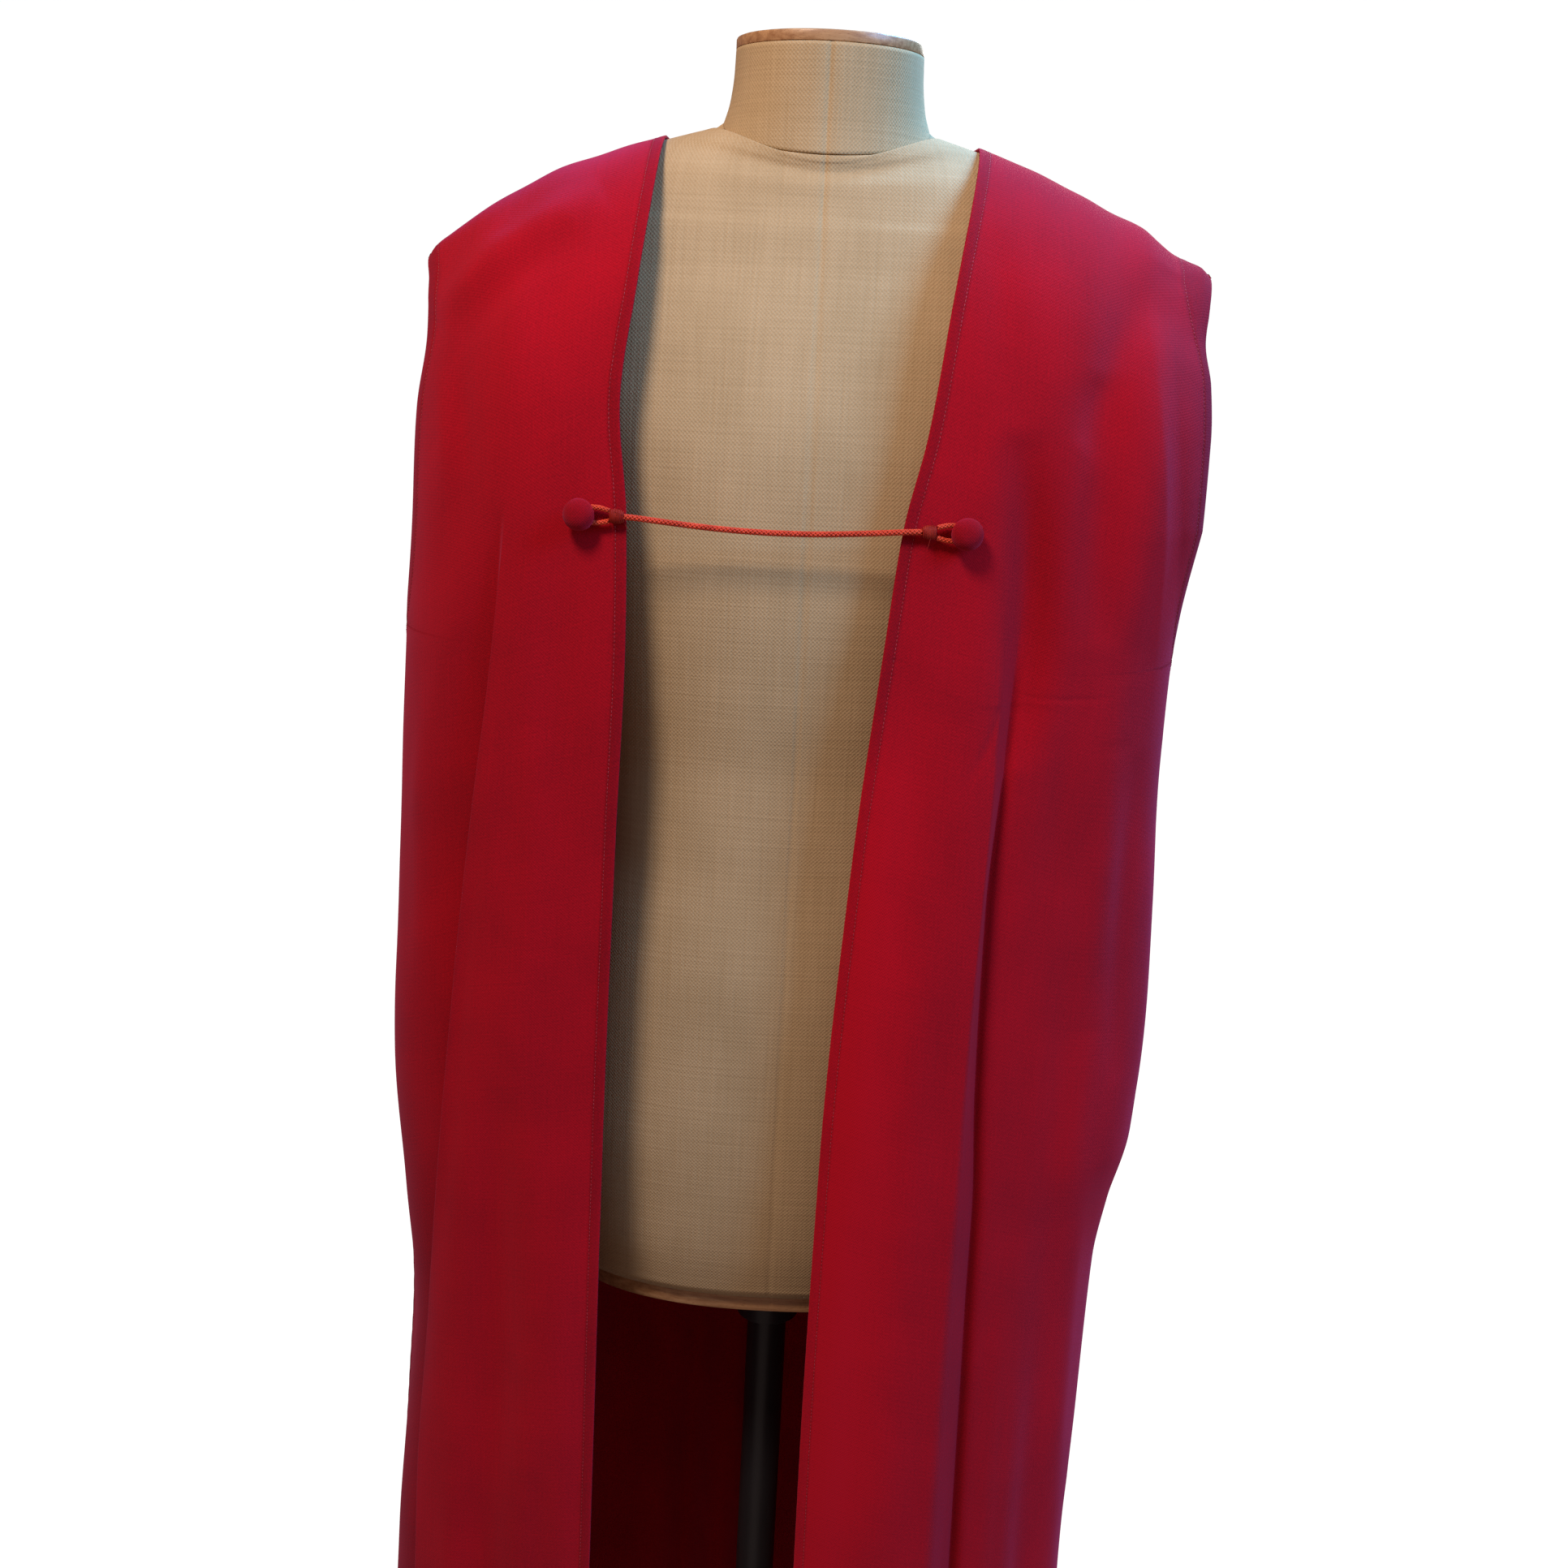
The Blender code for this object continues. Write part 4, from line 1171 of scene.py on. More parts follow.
def wound(side, seed):
    """The parts of a binding: a core, the yarn wound round it, and its frayed ends."""
    random = np.random.default_rng(seed)
    start, end = binding_ends(side)
    way = unit(end - start)
    deep = np.cross(way, UP)
    turn = turns(CORE_SIDES)
    rings = []
    for along, half_wide, half_deep in zip(*BINDING_PROFILE.values()):
        wide, thick = half_wide - WINDING_INSET, half_deep - WINDING_INSET
        spokes = wide * np.cos(turn)[:, None] * UP + thick * np.sin(turn)[:, None] * deep
        rings.append(start + along * (end - start) + spokes)
    parts = [rings_part(rings)]
    share = np.linspace(0, 1, WINDING_POINTS)
    slants = random.uniform(-1, 1, WANDERS + 1)
    wander = np.interp(share * WANDERS, np.arange(WANDERS + 1), slants)
    along = np.clip(share + 0.012 * wander, -0.03, 1.03)
    angle = share * WINDING_TURNS * FULL_TURN + 0.5 * wander
    inset = WINDING_INSET * (1.05 + 0.2 * wander)
    sizes = follow_each(BINDING_PROFILE, "wide deep", along, "along")
    wide, thick = (size - inset for size in sizes)
    spoke = np.cos(angle)[:, None] * UP + np.sin(angle)[:, None] * deep
    aside = (wide * np.cos(angle))[:, None] * UP + (thick * np.sin(angle))[:, None] * deep
    centres = start + along[:, None] * (end - start) + aside
    parts.append(swept(centres, spoke, WINDING_YARN, WINDING_YARN * 0.85))
    for fray in range(FRAYED_ENDS):
        angle = random.uniform(0, FULL_TURN)
        root = start + random.uniform(0.1, 0.95) * (end - start)
        aim = math.cos(angle) * UP + math.sin(angle) * deep
        length = random.uniform(2.6, 5.4) * MM
        bend = random.normal(0, 0.5, 3)
        t = np.linspace(0, 1, 9)[:, None]
        line = root + aim * (1.8 * MM + t * length) + t * t * length * (bend + 0.5 * way)
        parts.append(swept(line, (0.3, 0.2, 0.9), 0.09 * MM, 0.09 * MM, 5))
    return parts


print("turns of a binding:", WINDING_TURNS)

for word, side in SIDES.items():
    made = make_object(f"cord_binding_{word}_winding", wound(side, 40 + side), BINDING_YARN)
    stands_for(made, "red_cord", f"cord_binding_{word}")

# %% [markdown]
# ## Creases
#
# Folded away in a drawer and then hung, the cloth keeps faint pressed lines, and it drags a little
# from wherever it is held: at the buttons, the shoulders and the underarms. No two of these are
# alike, so they are listed one by one, each with its two ends, how far it bows, its width and its
# depth. A negative depth is a soft ridge.

# %% List the creases of the fronts
CREASE_COLUMNS = "x z to_x to_z bow width depth"
CREASES = {
    RIGHT: table(
        CREASE_COLUMNS,
        (0.1450, 1.2870, 0.1405, 1.2800, 0.0010, 0.0022, 0.00055),
        (0.1290, 1.2880, 0.1255, 1.2810, -0.0010, 0.0022, 0.00055),
        (0.1465, 1.2755, 0.1430, 1.2690, 0.0008, 0.0020, 0.00050),
        (0.1222, 1.2740, 0.1196, 1.2680, -0.0008, 0.0020, 0.00050),
        (0.1352, 1.2820, 0.1322, 1.2750, 0.0006, 0.0018, 0.00050),
        (0.1320, 1.2700, 0.1300, 1.2640, -0.0006, 0.0018, 0.00045),
        (0.1154, 1.3320, 0.1134, 1.2700, 0.0015, 0.0050, 0.0010),
        (0.2340, 1.3640, 0.1300, 1.4400, -0.0040, 0.0120, -0.0054),
        (0.2150, 1.3500, 0.1450, 1.4180, -0.0040, 0.0110, 0.0024),
        (0.1420, 1.4200, 0.1520, 1.3300, 0.0060, 0.0120, 0.0012),
        (0.1900, 1.4150, 0.1780, 1.3050, -0.0050, 0.0150, -0.0014),
        (0.2120, 1.3800, 0.2020, 1.2700, 0.0040, 0.0090, 0.0016),
        (0.2260, 1.3350, 0.2200, 1.2500, -0.0030, 0.0070, -0.0012),
        (0.1360, 1.2450, 0.1480, 1.0300, 0.0060, 0.0140, 0.0014),
        (0.1620, 1.1800, 0.1660, 0.9000, -0.0050, 0.0130, -0.0015),
        (0.1760, 0.8900, 0.1760, 0.6000, 0.0040, 0.0140, 0.0026),
        (0.1380, 0.9000, 0.1370, 0.5800, -0.0030, 0.0160, -0.0022),
        (0.1900, 1.0600, 0.2080, 0.9000, 0.0030, 0.0050, 0.0010),
        (0.2080, 0.9600, 0.2260, 0.7400, -0.0040, 0.0080, 0.0016),
        (0.2440, 1.1500, 0.2500, 0.9300, 0.0030, 0.0070, 0.0018),
        (0.2360, 0.8600, 0.2440, 0.6000, -0.0040, 0.0090, 0.0020),
        (0.1160, 0.7800, 0.1190, 0.4200, 0.0020, 0.0080, 0.0012),
        (0.1500, 0.6200, 0.1440, 0.1600, 0.0060, 0.0150, 0.0030),
        (0.2220, 0.5200, 0.2240, 0.1600, -0.0050, 0.0120, 0.0030),
        (0.1250, 1.1250, 0.1900, 1.1210, 0.0020, 0.0024, 0.0003),
        (0.1180, 0.9880, 0.1850, 0.9850, -0.0020, 0.0024, 0.0003),
    ),
    LEFT: table(
        CREASE_COLUMNS,
        (0.1200, 1.1560, 0.0990, 1.1070, 0.0040, 0.0018, 0.0014),
        (0.2090, 1.4140, 0.1640, 1.3050, -0.0060, 0.0160, 0.0056),
        (0.1690, 1.3500, 0.1760, 1.1900, 0.0000, 0.0150, 0.0066),
        (0.2120, 1.3850, 0.2000, 1.1900, 0.0010, 0.0120, -0.0018),
        (0.1210, 1.3150, 0.1310, 1.1150, 0.0085, 0.0135, 0.0112),
        (0.1000, 1.4300, 0.1040, 1.3200, 0.0040, 0.0110, 0.0010),
        (0.1360, 1.1285, 0.2170, 1.1228, 0.0020, 0.0016, 0.0005),
        (0.1330, 1.1590, 0.1910, 1.1580, -0.0010, 0.0016, 0.0004),
        (0.0950, 1.1520, 0.1700, 1.1500, 0.0010, 0.0016, 0.0004),
        (0.1313, 1.3078, 0.1924, 1.2931, 0.0020, 0.0018, 0.0004),
        (0.1700, 1.2000, 0.1654, 1.0300, -0.0030, 0.0120, 0.0024),
        (0.1930, 1.1700, 0.1900, 0.9400, 0.0030, 0.0110, -0.0022),
        (0.2160, 1.1200, 0.2180, 0.9000, -0.0030, 0.0090, 0.0022),
        (0.1737, 1.0000, 0.1760, 0.8300, 0.0030, 0.0120, 0.0020),
        (0.2320, 1.0600, 0.2380, 0.8800, 0.0020, 0.0060, -0.0014),
        (0.1964, 0.9400, 0.1990, 0.7400, -0.0040, 0.0110, -0.0020),
        (0.2140, 0.8400, 0.2120, 0.5800, 0.0040, 0.0100, 0.0024),
        (0.1560, 0.8000, 0.1580, 0.4200, -0.0040, 0.0080, -0.0018),
        (0.0700, 1.1800, 0.0640, 0.9800, 0.0030, 0.0120, 0.0010),
        (0.0880, 1.0400, 0.0860, 0.7600, -0.0040, 0.0130, -0.0012),
        (0.0520, 0.8800, 0.0520, 0.5200, 0.0030, 0.0110, 0.0012),
        (0.0760, 0.6000, 0.0800, 0.1600, 0.0050, 0.0140, 0.0026),
        (0.2200, 0.4800, 0.2210, 0.1600, -0.0040, 0.0090, 0.0026),
        (0.0400, 0.9700, 0.1020, 0.9670, 0.0020, 0.0022, 0.0003),
    ),
}
print("creases in the fronts:", sum(len(rows["x"]) for rows in CREASES.values()))

# %% List the creases of the back
BACK_CREASES = table(
    CREASE_COLUMNS,
    (-0.1500, 1.4250, -0.0700, 1.3700, -0.0080, 0.0110, 0.0016),
    (0.1560, 1.4200, 0.0800, 1.3600, 0.0090, 0.0120, 0.0017),
    (-0.0600, 1.4350, 0.0550, 1.4330, -0.0100, 0.0090, 0.0013),
    (-0.0900, 1.3950, 0.0100, 1.3820, -0.0060, 0.0120, -0.0011),
    (-0.2050, 1.3700, -0.1850, 1.2500, 0.0060, 0.0110, 0.0020),
    (0.2080, 1.3800, 0.1900, 1.2450, -0.0050, 0.0120, 0.0021),
    (-0.1400, 1.3300, -0.1300, 1.1500, 0.0070, 0.0130, 0.0017),
    (0.1250, 1.3100, 0.1360, 1.1700, -0.0060, 0.0120, 0.0016),
    (0.0500, 1.3600, 0.0440, 1.1800, 0.0050, 0.0140, -0.0018),
    (-0.0420, 1.2900, -0.0560, 1.1200, -0.0050, 0.0110, -0.0016),
    (0.2160, 1.1500, 0.2100, 0.9600, 0.0040, 0.0090, 0.0019),
    (-0.2280, 1.1700, -0.2300, 0.9900, -0.0040, 0.0100, 0.0020),
    (-0.1800, 1.0200, -0.1760, 0.7800, 0.0050, 0.0110, -0.0022),
    (0.0800, 1.0500, 0.0860, 0.8000, -0.0060, 0.0100, 0.0018),
    (0.1700, 0.9000, 0.1780, 0.6400, 0.0050, 0.0100, -0.0020),
    (-0.0900, 0.8800, -0.0960, 0.5600, 0.0050, 0.0110, 0.0022),
    (0.0200, 0.8000, 0.0100, 0.4600, -0.0050, 0.0110, 0.0020),
    (-0.2100, 0.7200, -0.2160, 0.3800, 0.0060, 0.0120, 0.0024),
    (0.2000, 0.6000, 0.2040, 0.2600, -0.0050, 0.0110, 0.0022),
    (-0.0300, 0.5200, -0.0200, 0.1700, 0.0060, 0.0120, -0.0024),
    (0.1200, 0.4600, 0.1260, 0.1600, 0.0050, 0.0110, 0.0022),
    (-0.1500, 0.4200, -0.1540, 0.1600, -0.0050, 0.0110, -0.0022),
    (-0.1900, 1.1280, 0.1850, 1.1240, 0.0030, 0.0026, 0.0004),
    (-0.1800, 0.7900, 0.1900, 0.7860, -0.0030, 0.0028, 0.0004),
)
print("creases in the back:", len(BACK_CREASES["x"]))

# %% Press the creases and the ripples
CREASE_ENDS = 0.7  # how bluntly a crease ends: under 1 it keeps its depth for longer
RIPPLES = (0.031, 0.043, 0.058, 0.079)  # from crest to crest
RIPPLE_DEPTH = 0.004  # of each, as a share of that


def creased(across, height, rows):
    """How far the listed creases draw each point in."""
    depth = 0 * across
    for x, z, to_x, to_z, bow, width, deep in zip(*rows.values()):
        length = math.hypot(to_x - x, to_z - z)
        way = ((to_x - x) / length, (to_z - z) / length)
        along = ((across - x) * way[0] + (height - z) * way[1]) / length
        aside = (height - z) * way[0] - (across - x) * way[1] - bow * 4 * along * (1 - along)
        inside = np.clip(along, 0, 1)
        depth += deep * np.sin(math.pi * inside) ** CREASE_ENDS * bell(aside, width)
    return depth


def rippled(across, height, seed):
    """The slight unevenness that no cloth is without, in several directions."""
    random = np.random.default_rng(seed)
    out = 0 * across
    for wave in RIPPLES:
        direction = random.uniform(-0.5, 0.5)
        phase = random.uniform(0, FULL_TURN, 2)
        slanted = across * math.cos(direction) + height * math.sin(direction) * 0.35
        grows = 1 + 0.6 * np.sin(FULL_TURN * height / (wave * 4.3) + phase[1])
        out += wave * RIPPLE_DEPTH * np.sin(FULL_TURN * slanted / wave + phase[0]) * grows
    return out


print("ripples from crest to crest:", RIPPLES)

# %% [markdown]
# ## How far the cloth stands out or falls in
#
# The folds and the creases are added along the surface's normal. Near the side seams the fronts'
# folds die out, because there the front is sewn to the back and neither can move without the other.

# %% Work out the relief of a front
def front_relief(side, grid):
    """How far each point of a front stands out, negative where it falls in."""
    across, height = np.abs(grid[..., 0]), grid[..., 2]
    out = 0 * across
    rows = FRONT_TROUGHS[side]
    away = across - follow(rows, "across", height)
    out -= follow(rows, "depth", height) * trough(away, TROUGH_WIDTH[side])
    rows, wide = (ARM_CREASE, LIP) if side == RIGHT else (ARM_LIP, ARM_LIP_WIDE)
    line, depth, reach = follow_each(rows, "across depth reach", height)
    out -= depth * drop_back(across - line, wide, reach)
    if side == LEFT:
        edge = follow(EDGE[side], "across", height)
        brow, swell = follow_each(BROW, "across swell", height)
        line, depth, reach = follow_each(DEEP_CREASE, "across depth reach", height)
        roll = swell * (1 - (1 - np.clip((across - edge) / (brow - edge), 0, 1)) ** ROLL_ROUND)
        side_of_roll = roll - (swell + depth) * flank((across - brow) / (line - brow))
        beyond = across - line
        way_back = -depth * CREST_SHARE * (1 - ease(beyond / CREST))
        way_back -= depth * (1 - CREST_SHARE) * (1 - np.clip(beyond / reach, 0, 1)) ** SLACKENING
        out += np.where(across < line, side_of_roll, way_back)
    out -= creased(across, height, CREASES[side])
    out += rippled(across, height, 5 + side)
    from_seam = np.abs(grid[..., 1]) / SEAM_CALM
    return out * np.where(height < CHEST, ease(from_seam), ease(from_seam * SHOULDER_CALM))


buttons = np.array([[[BUTTON_ACROSS[RIGHT], -DEPTH["front"][-1], CHEST]]])
raised = front_relief(RIGHT, buttons).item()
print("creases raise the cloth at the right button by", round(raised / MM, 2), "mm")

# %% Work out the relief of the back
def back_relief(grid):
    """How far each point of the back stands out, negative where it falls in."""
    turn = np.degrees(np.arctan2(grid[..., 0], grid[..., 1]))
    height = grid[..., 2]
    fallen = np.clip((CHEST - height) / (CHEST - HEM), 0, 1)
    out = BACK_SWELL * fallen * np.cos(np.radians(turn))
    for top, hem, width, starts, depth in zip(*BACK_TROUGHS.values()):
        away = turn - top - (hem - top) * ease(fallen)
        out -= depth * below(height, starts, starts - HEM) * trough(away, width)
    calm = ease(np.abs(grid[..., 1]) / SEAM_CALM)
    out -= creased(grid[..., 0], height, BACK_CREASES) * calm
    return out + rippled(grid[..., 0], height, 9) * calm


print("the back swells by", BACK_SWELL, "m at the hem")

# %% [markdown]
# ### Painted light and shade
#
# Light and shade are painted into the fronts' colour. Painted light makes the cloth paler along the
# roll by the front edge, on the outer side of the skirt and all over the skirt. Painted shade keeps
# it deep where a fold hides the cloth from the light: down the flank of the roll to the sharp
# crease, beyond the drop at the left armhole, and in the crease on the wearer's right, whose outer
# side is turned away below.

# %% Work out the light and shade painted on the fronts
CREASE_PAINTED_SHADE = {RIGHT: 0.6, LEFT: 0.5}  # how much deeper painted shade makes a crease
ROLL_PAINTED_LIGHT, OUTER_PAINTED_LIGHT = 1.5, 0.5  # how much paler painted light makes the roll by the edge and the outer side
SKIRT_PAINTED_LIGHT, SKIRT_TOP, SKIRT_FALL = 0.3, 1.15, 0.35  # painted light all over, from a height down
ROLL_LIGHT_IN, ROLL_LIGHT_WIDE, ROLL_LIGHT_TOP, ROLL_LIGHT_FALL = 0.014, 0.034, 1.18, 0.14
OUTER_FROM, OUTER_WIDE, OUTER_TOP, OUTER_FALL = 0.15, 0.05, 1.05, 0.3
TURNED_SHARE, TURNED_TOP, TURNED_FALL = 2, 1.02, 0.28
DEEPEST = float(ARM_CREASE["depth"].max())
FLANK_SHARE = 0.5  # of the painted shade, down the roll's flank


def front_painted_light(side, grid):
    """How much painted light each point of a front gets, negative where painted shade is deeper."""
    across, height = np.abs(grid[..., 0]), grid[..., 2]
    inner, line = fold_lines(side, height)
    # painted light that makes the skirt paler from a height down
    skirt = SKIRT_PAINTED_LIGHT * below(height, SKIRT_TOP, SKIRT_FALL)
    if side == RIGHT:
        depth = follow(ARM_CREASE, "depth", height)
        # painted shade in the crease by the right arm, and on its outer side, which is turned away
        # below
        turned = ease((across - line + 2 * MM) / (4 * MM))
        turned = TURNED_SHARE * turned * below(height, TURNED_TOP, TURNED_FALL)
        painted_shade = depth / DEEPEST * bell(across - line, 5 * MM) + turned
        return skirt - CREASE_PAINTED_SHADE[side] * painted_shade
    depth, lip = follow(DEEP_CREASE, "depth", height), follow(ARM_LIP, "depth", height)
    # painted shade down the roll's flank to the crease, and beyond the drop by the left armhole
    painted_shade = ease((across - inner - 1 * MM) / (5 * MM)) * ease((line + 5 * MM - across) / (3 * MM))
    painted_shade = FLANK_SHARE * painted_shade * ease((depth - 1 * MM) / (3 * MM))
    beyond = across - follow(ARM_LIP, "across", height) + 4 * MM
    painted_shade = np.maximum(painted_shade, ease(beyond / (3 * MM)) * ease(lip / (3 * MM)))
    # painted light along the roll by the front edge
    roll_light = bell(across - follow(EDGE[side], "across", height) - ROLL_LIGHT_IN, ROLL_LIGHT_WIDE)
    roll_light = roll_light * below(height, ROLL_LIGHT_TOP, ROLL_LIGHT_FALL)
    # painted light on the outer side of the skirt
    outer = ease((across - OUTER_FROM) / OUTER_WIDE) * below(height, OUTER_TOP, OUTER_FALL)
    return skirt + ROLL_PAINTED_LIGHT * roll_light + OUTER_PAINTED_LIGHT * outer - CREASE_PAINTED_SHADE[side] * painted_shade


print("deepest crease by the arm:", DEEPEST, "m")

# %% [markdown]
# ## Hems, seams and the thickness of the cloth
#
# The front edges are turned in nearly 8 mm and topstitched just inside that, the armholes 13 mm,
# and the hem 25 mm. Over the cap of the wearer's left shoulder the armhole's hem grows to twice its
# width. Where the cloth lies double it is a little proud and stiff, with fine puckers between the
# stitches, and the stitches themselves are drawn down into it. At the seams the cloth turns in to
# its allowance, which leaves a fine groove between the two pieces.
#
# To do this, each point of a piece is told how far it is from each edge.

# %% Measure from an edge
EDGE_STEP = 0.4 * MM  # between the places on an edge that distances are measured to


def edge_distance(surface, line):
    """How far each point of a surface is from a line of points, such as an edge."""
    along = lengths_along(line)
    at = np.linspace(0, along[-1], int(along[-1] / EDGE_STEP))
    fine = points_at(line, along, at)
    tree = KDTree(len(fine))
    for i, point in enumerate(fine):
        tree.insert(point, i)
    tree.balance()
    flat = surface.reshape(-1, 3)
    return np.array([tree.find(point)[2] for point in flat]).reshape(surface.shape[:2])


square_mesh = np.array([[[0, 0, 0], [0.01, 0, 0]], [[0, 0.01, 0], [0.01, 0.01, 0]]])
far = edge_distance(square_mesh, square_mesh[0])
print("a 10 mm square's corners are", far.round(4).tolist(), "m from one of its sides")

# %% Raise a hem and sink a seam
FRONT_HEM, ARM_HEM, FOOT_HEM = 7.6 * MM, 13.0 * MM, 25.0 * MM
STITCH_IN = 1.0 * MM  # from a hem's inner edge to its stitches
HEM_PROUD, HEM_DRAWN, HEM_RUFFLE = 0.35 * MM, 0.45 * MM, 0.06 * MM
PUCKER_WAVES = (7.3 * MM, 11.1 * MM, 16.7 * MM)
SEAM_DIP, SEAM_SWELL = 0.7 * MM, 0.22 * MM


def hem_relief(far, wide, run, seed):
    """A hem so wide: proud of the cloth, puckered along its run, and drawn in at its stitches."""
    band = 1 - ease((far - wide + 0.3 * MM) / (0.9 * MM))
    line = wide - STITCH_IN
    groove = bell(far - line, 0.9 * MM)
    random = np.random.default_rng(seed)
    phases = [random.uniform(0, FULL_TURN) for wave in PUCKER_WAVES]
    pucker = sum(np.sin(FULL_TURN * run / w + phase) for w, phase in zip(PUCKER_WAVES, phases))
    ruffle = HEM_RUFFLE * pucker * bell(far - line, wide * 0.45)
    return band * HEM_PROUD - groove * HEM_DRAWN + ruffle, band


def seam_relief(far):
    """The groove where two pieces are sewn together, with a slight swell beside it."""
    return SEAM_SWELL * bell(far - 4.5 * MM, 3.0 * MM) - SEAM_DIP * bell(far, 1.5 * MM)


print("a seam's groove is", round(-seam_relief(0) / MM, 2), "mm deep")

# %% [markdown]
# ## Cutting out a piece of the robe
#
# A piece is two skins of points with the cloth's thickness between them, closed round its edge.
# Towards each edge the skins come together in a half circle, because cloth that is turned in has a
# rounded edge, and it is that round that catches the light.

# %% Join two skins
def two_skins(outer, inner):
    """The points and faces of a closed piece between an outer and an inner skin."""
    rows, columns = outer.shape[:2]
    count = rows * columns
    faces = strip_faces(rows, columns).tolist()
    faces += [face[::-1] for face in strip_faces(rows, columns, first=count).tolist()]
    number = np.arange(count).reshape(rows, columns)
    rim = np.concatenate(
        [number[0, :-1], number[:-1, -1], number[-1, :0:-1], number[:0:-1, 0]]
    ).tolist()
    for a, b in zip(rim, rim[1:] + rim[:1]):
        faces.append([a, b, b + count, a + count])
    return np.concatenate([outer.reshape(-1, 3), inner.reshape(-1, 3)]), faces


print("a closed square has", len(two_skins(square_mesh, square_mesh - (0, 0, MM))[1]), "faces")

# %% Make a cut piece
CLOTH = 0.9 * MM  # thickness of the cloth
DOUBLED = 0.8  # how much thicker it is in a hem, pressed flat
THIN_EDGE = 0.3  # of half its thickness is left at its very edge
CAP_HEM_WIDER, CAP_HEM_FROM, CAP_HEM_RISE = 1.1, 1.360, 0.050  # over the left shoulder's cap
EDGE_WORN = 1.1 * MM  # width of the paler, rubbed line along each edge
LINING_GRAIN = (0.37, 0.21, 0)  # the inner skin's weave is shifted, so that it isn't the outer's


def wider_hem(surface):
    """How much wider the armhole's hem is: it grows over the cap of the wearer's left shoulder."""
    over_cap = ease((surface[..., 2] - CAP_HEM_FROM) / CAP_HEM_RISE) * (surface[..., 0] > 0)
    return 1 + CAP_HEM_WIDER * over_cap


def hang(name, grid, relief, painted_light, seams, seam_side, hems, sewn, start):
    """A cut piece of the robe with its folds, hems and seams. Returns it and what was measured."""
    surface = grid + normals(grid) * relief[..., None]
    for seam in seams:
        surface[seam][..., 1] = seam_side * GAP / 2
    down = lengths_along(surface)
    out, ply, rim = 0 * relief, 0 * relief, np.full(relief.shape, 1.0)
    fields = {}
    for number, (label, line, wide) in enumerate(hems):
        far = edge_distance(surface, line(surface))
        rim = np.minimum(rim, far)
        if label == "arm" and seam_side == -1:
            far = far / wider_hem(surface)
        fields[label] = far
        run = surface[..., 2] if label != "foot" else start[:, None] + lengths_along(surface, 1)
        proud, band = hem_relief(far, wide, run, 30 + number)
        out += proud
        ply = np.maximum(ply, band)
    for line in sewn:
        far = edge_distance(surface, line(surface))
        out += seam_relief(far)
        rim = np.minimum(rim, far)
    facing = normals(surface)
    for seam in seams:
        facing[seam][..., 1] = 0
    facing = unit(facing)
    surface = surface + facing * out[..., None]
    radius = CLOTH * (1 + DOUBLED * ply) / 2
    near = np.clip(rim / radius, 0, 1)
    half = radius * np.maximum(np.sqrt(1 - (1 - near) ** 2), THIN_EDGE)
    middle = surface - facing * radius[..., None]
    outer, inner = middle + facing * half[..., None], middle - facing * half[..., None]
    points, faces = two_skins(outer, inner)
    across = start[:, None] + lengths_along(surface, 1)
    grain = np.stack([across, down, 0 * down], axis=2).reshape(-1, 3)
    random = np.random.default_rng(3)
    # the fronts' painted light and shade, plus paler rubbed edges
    wear_and_light_marks = painted_light + bell(rim, EDGE_WORN) * random.uniform(0.5, 1.0, rim.shape)
    marks = {
        "grain": np.concatenate([grain, grain + LINING_GRAIN]),
        "wear_and_painted_light": np.tile(wear_and_light_marks.ravel(), 2),
        "ply": np.tile(ply.ravel(), 2),
    }
    made = make_object(name, [(points, faces)], RED_CLOTH, marks)
    return made, {"surface": surface, "facing": facing, "fields": fields}


print("the cloth is", CLOTH / MM, "mm thick and a hem", round(CLOTH * (1 + DOUBLED) / MM, 2), "mm")

# %% [markdown]
# ## The fronts and the back
#
# The robe is cut in three: two fronts, which are not alike on this form because the wearer's right
# one hangs wider open, and a back in one piece. The seams over the shoulders and down the sides lie
# in the plane Y = 0.

# %% Hang the three pieces
SEAM_ROW = len(DROPS) + int(np.argmin(np.abs(FRONT_LEVELS - UNDERARM)))
BACK_SEAM_ROW = len(DROPS) + int(np.argmin(np.abs(BACK_LEVELS - UNDERARM)))


def hang_front(word):
    """A front, from its front edge out to the armhole and the side seam."""
    side = SIDES[word]
    grid = front_grid(side)
    relief, painted_light = front_relief(side, grid), front_painted_light(side, grid)
    near, far = (0, -1) if side == LEFT else (-1, 0)
    start = np.abs(grid[:, 0, 0])
    if side == RIGHT:
        grid, relief, painted_light = (field[:, ::-1] for field in (grid, relief, painted_light))
        start = -np.abs(grid[:, -1, 0]) - lengths_along(grid, 1)[:, -1]
    edge_column = np.s_[SEAM_ROW:, -1:] if side == LEFT else np.s_[SEAM_ROW:, 0:1]
    return hang(
        f"front_{word}_cloth",
        grid,
        relief,
        painted_light,
        [np.s_[0:1, :], edge_column],
        -1,
        [
            ("edge", lambda s: s[:, near], FRONT_HEM),
            ("arm", lambda s: s[: SEAM_ROW + 1, far], ARM_HEM),
            ("foot", lambda s: s[-1], FOOT_HEM),
        ],
        [lambda s: s[0], lambda s: s[SEAM_ROW:, far]],
        start,
    )


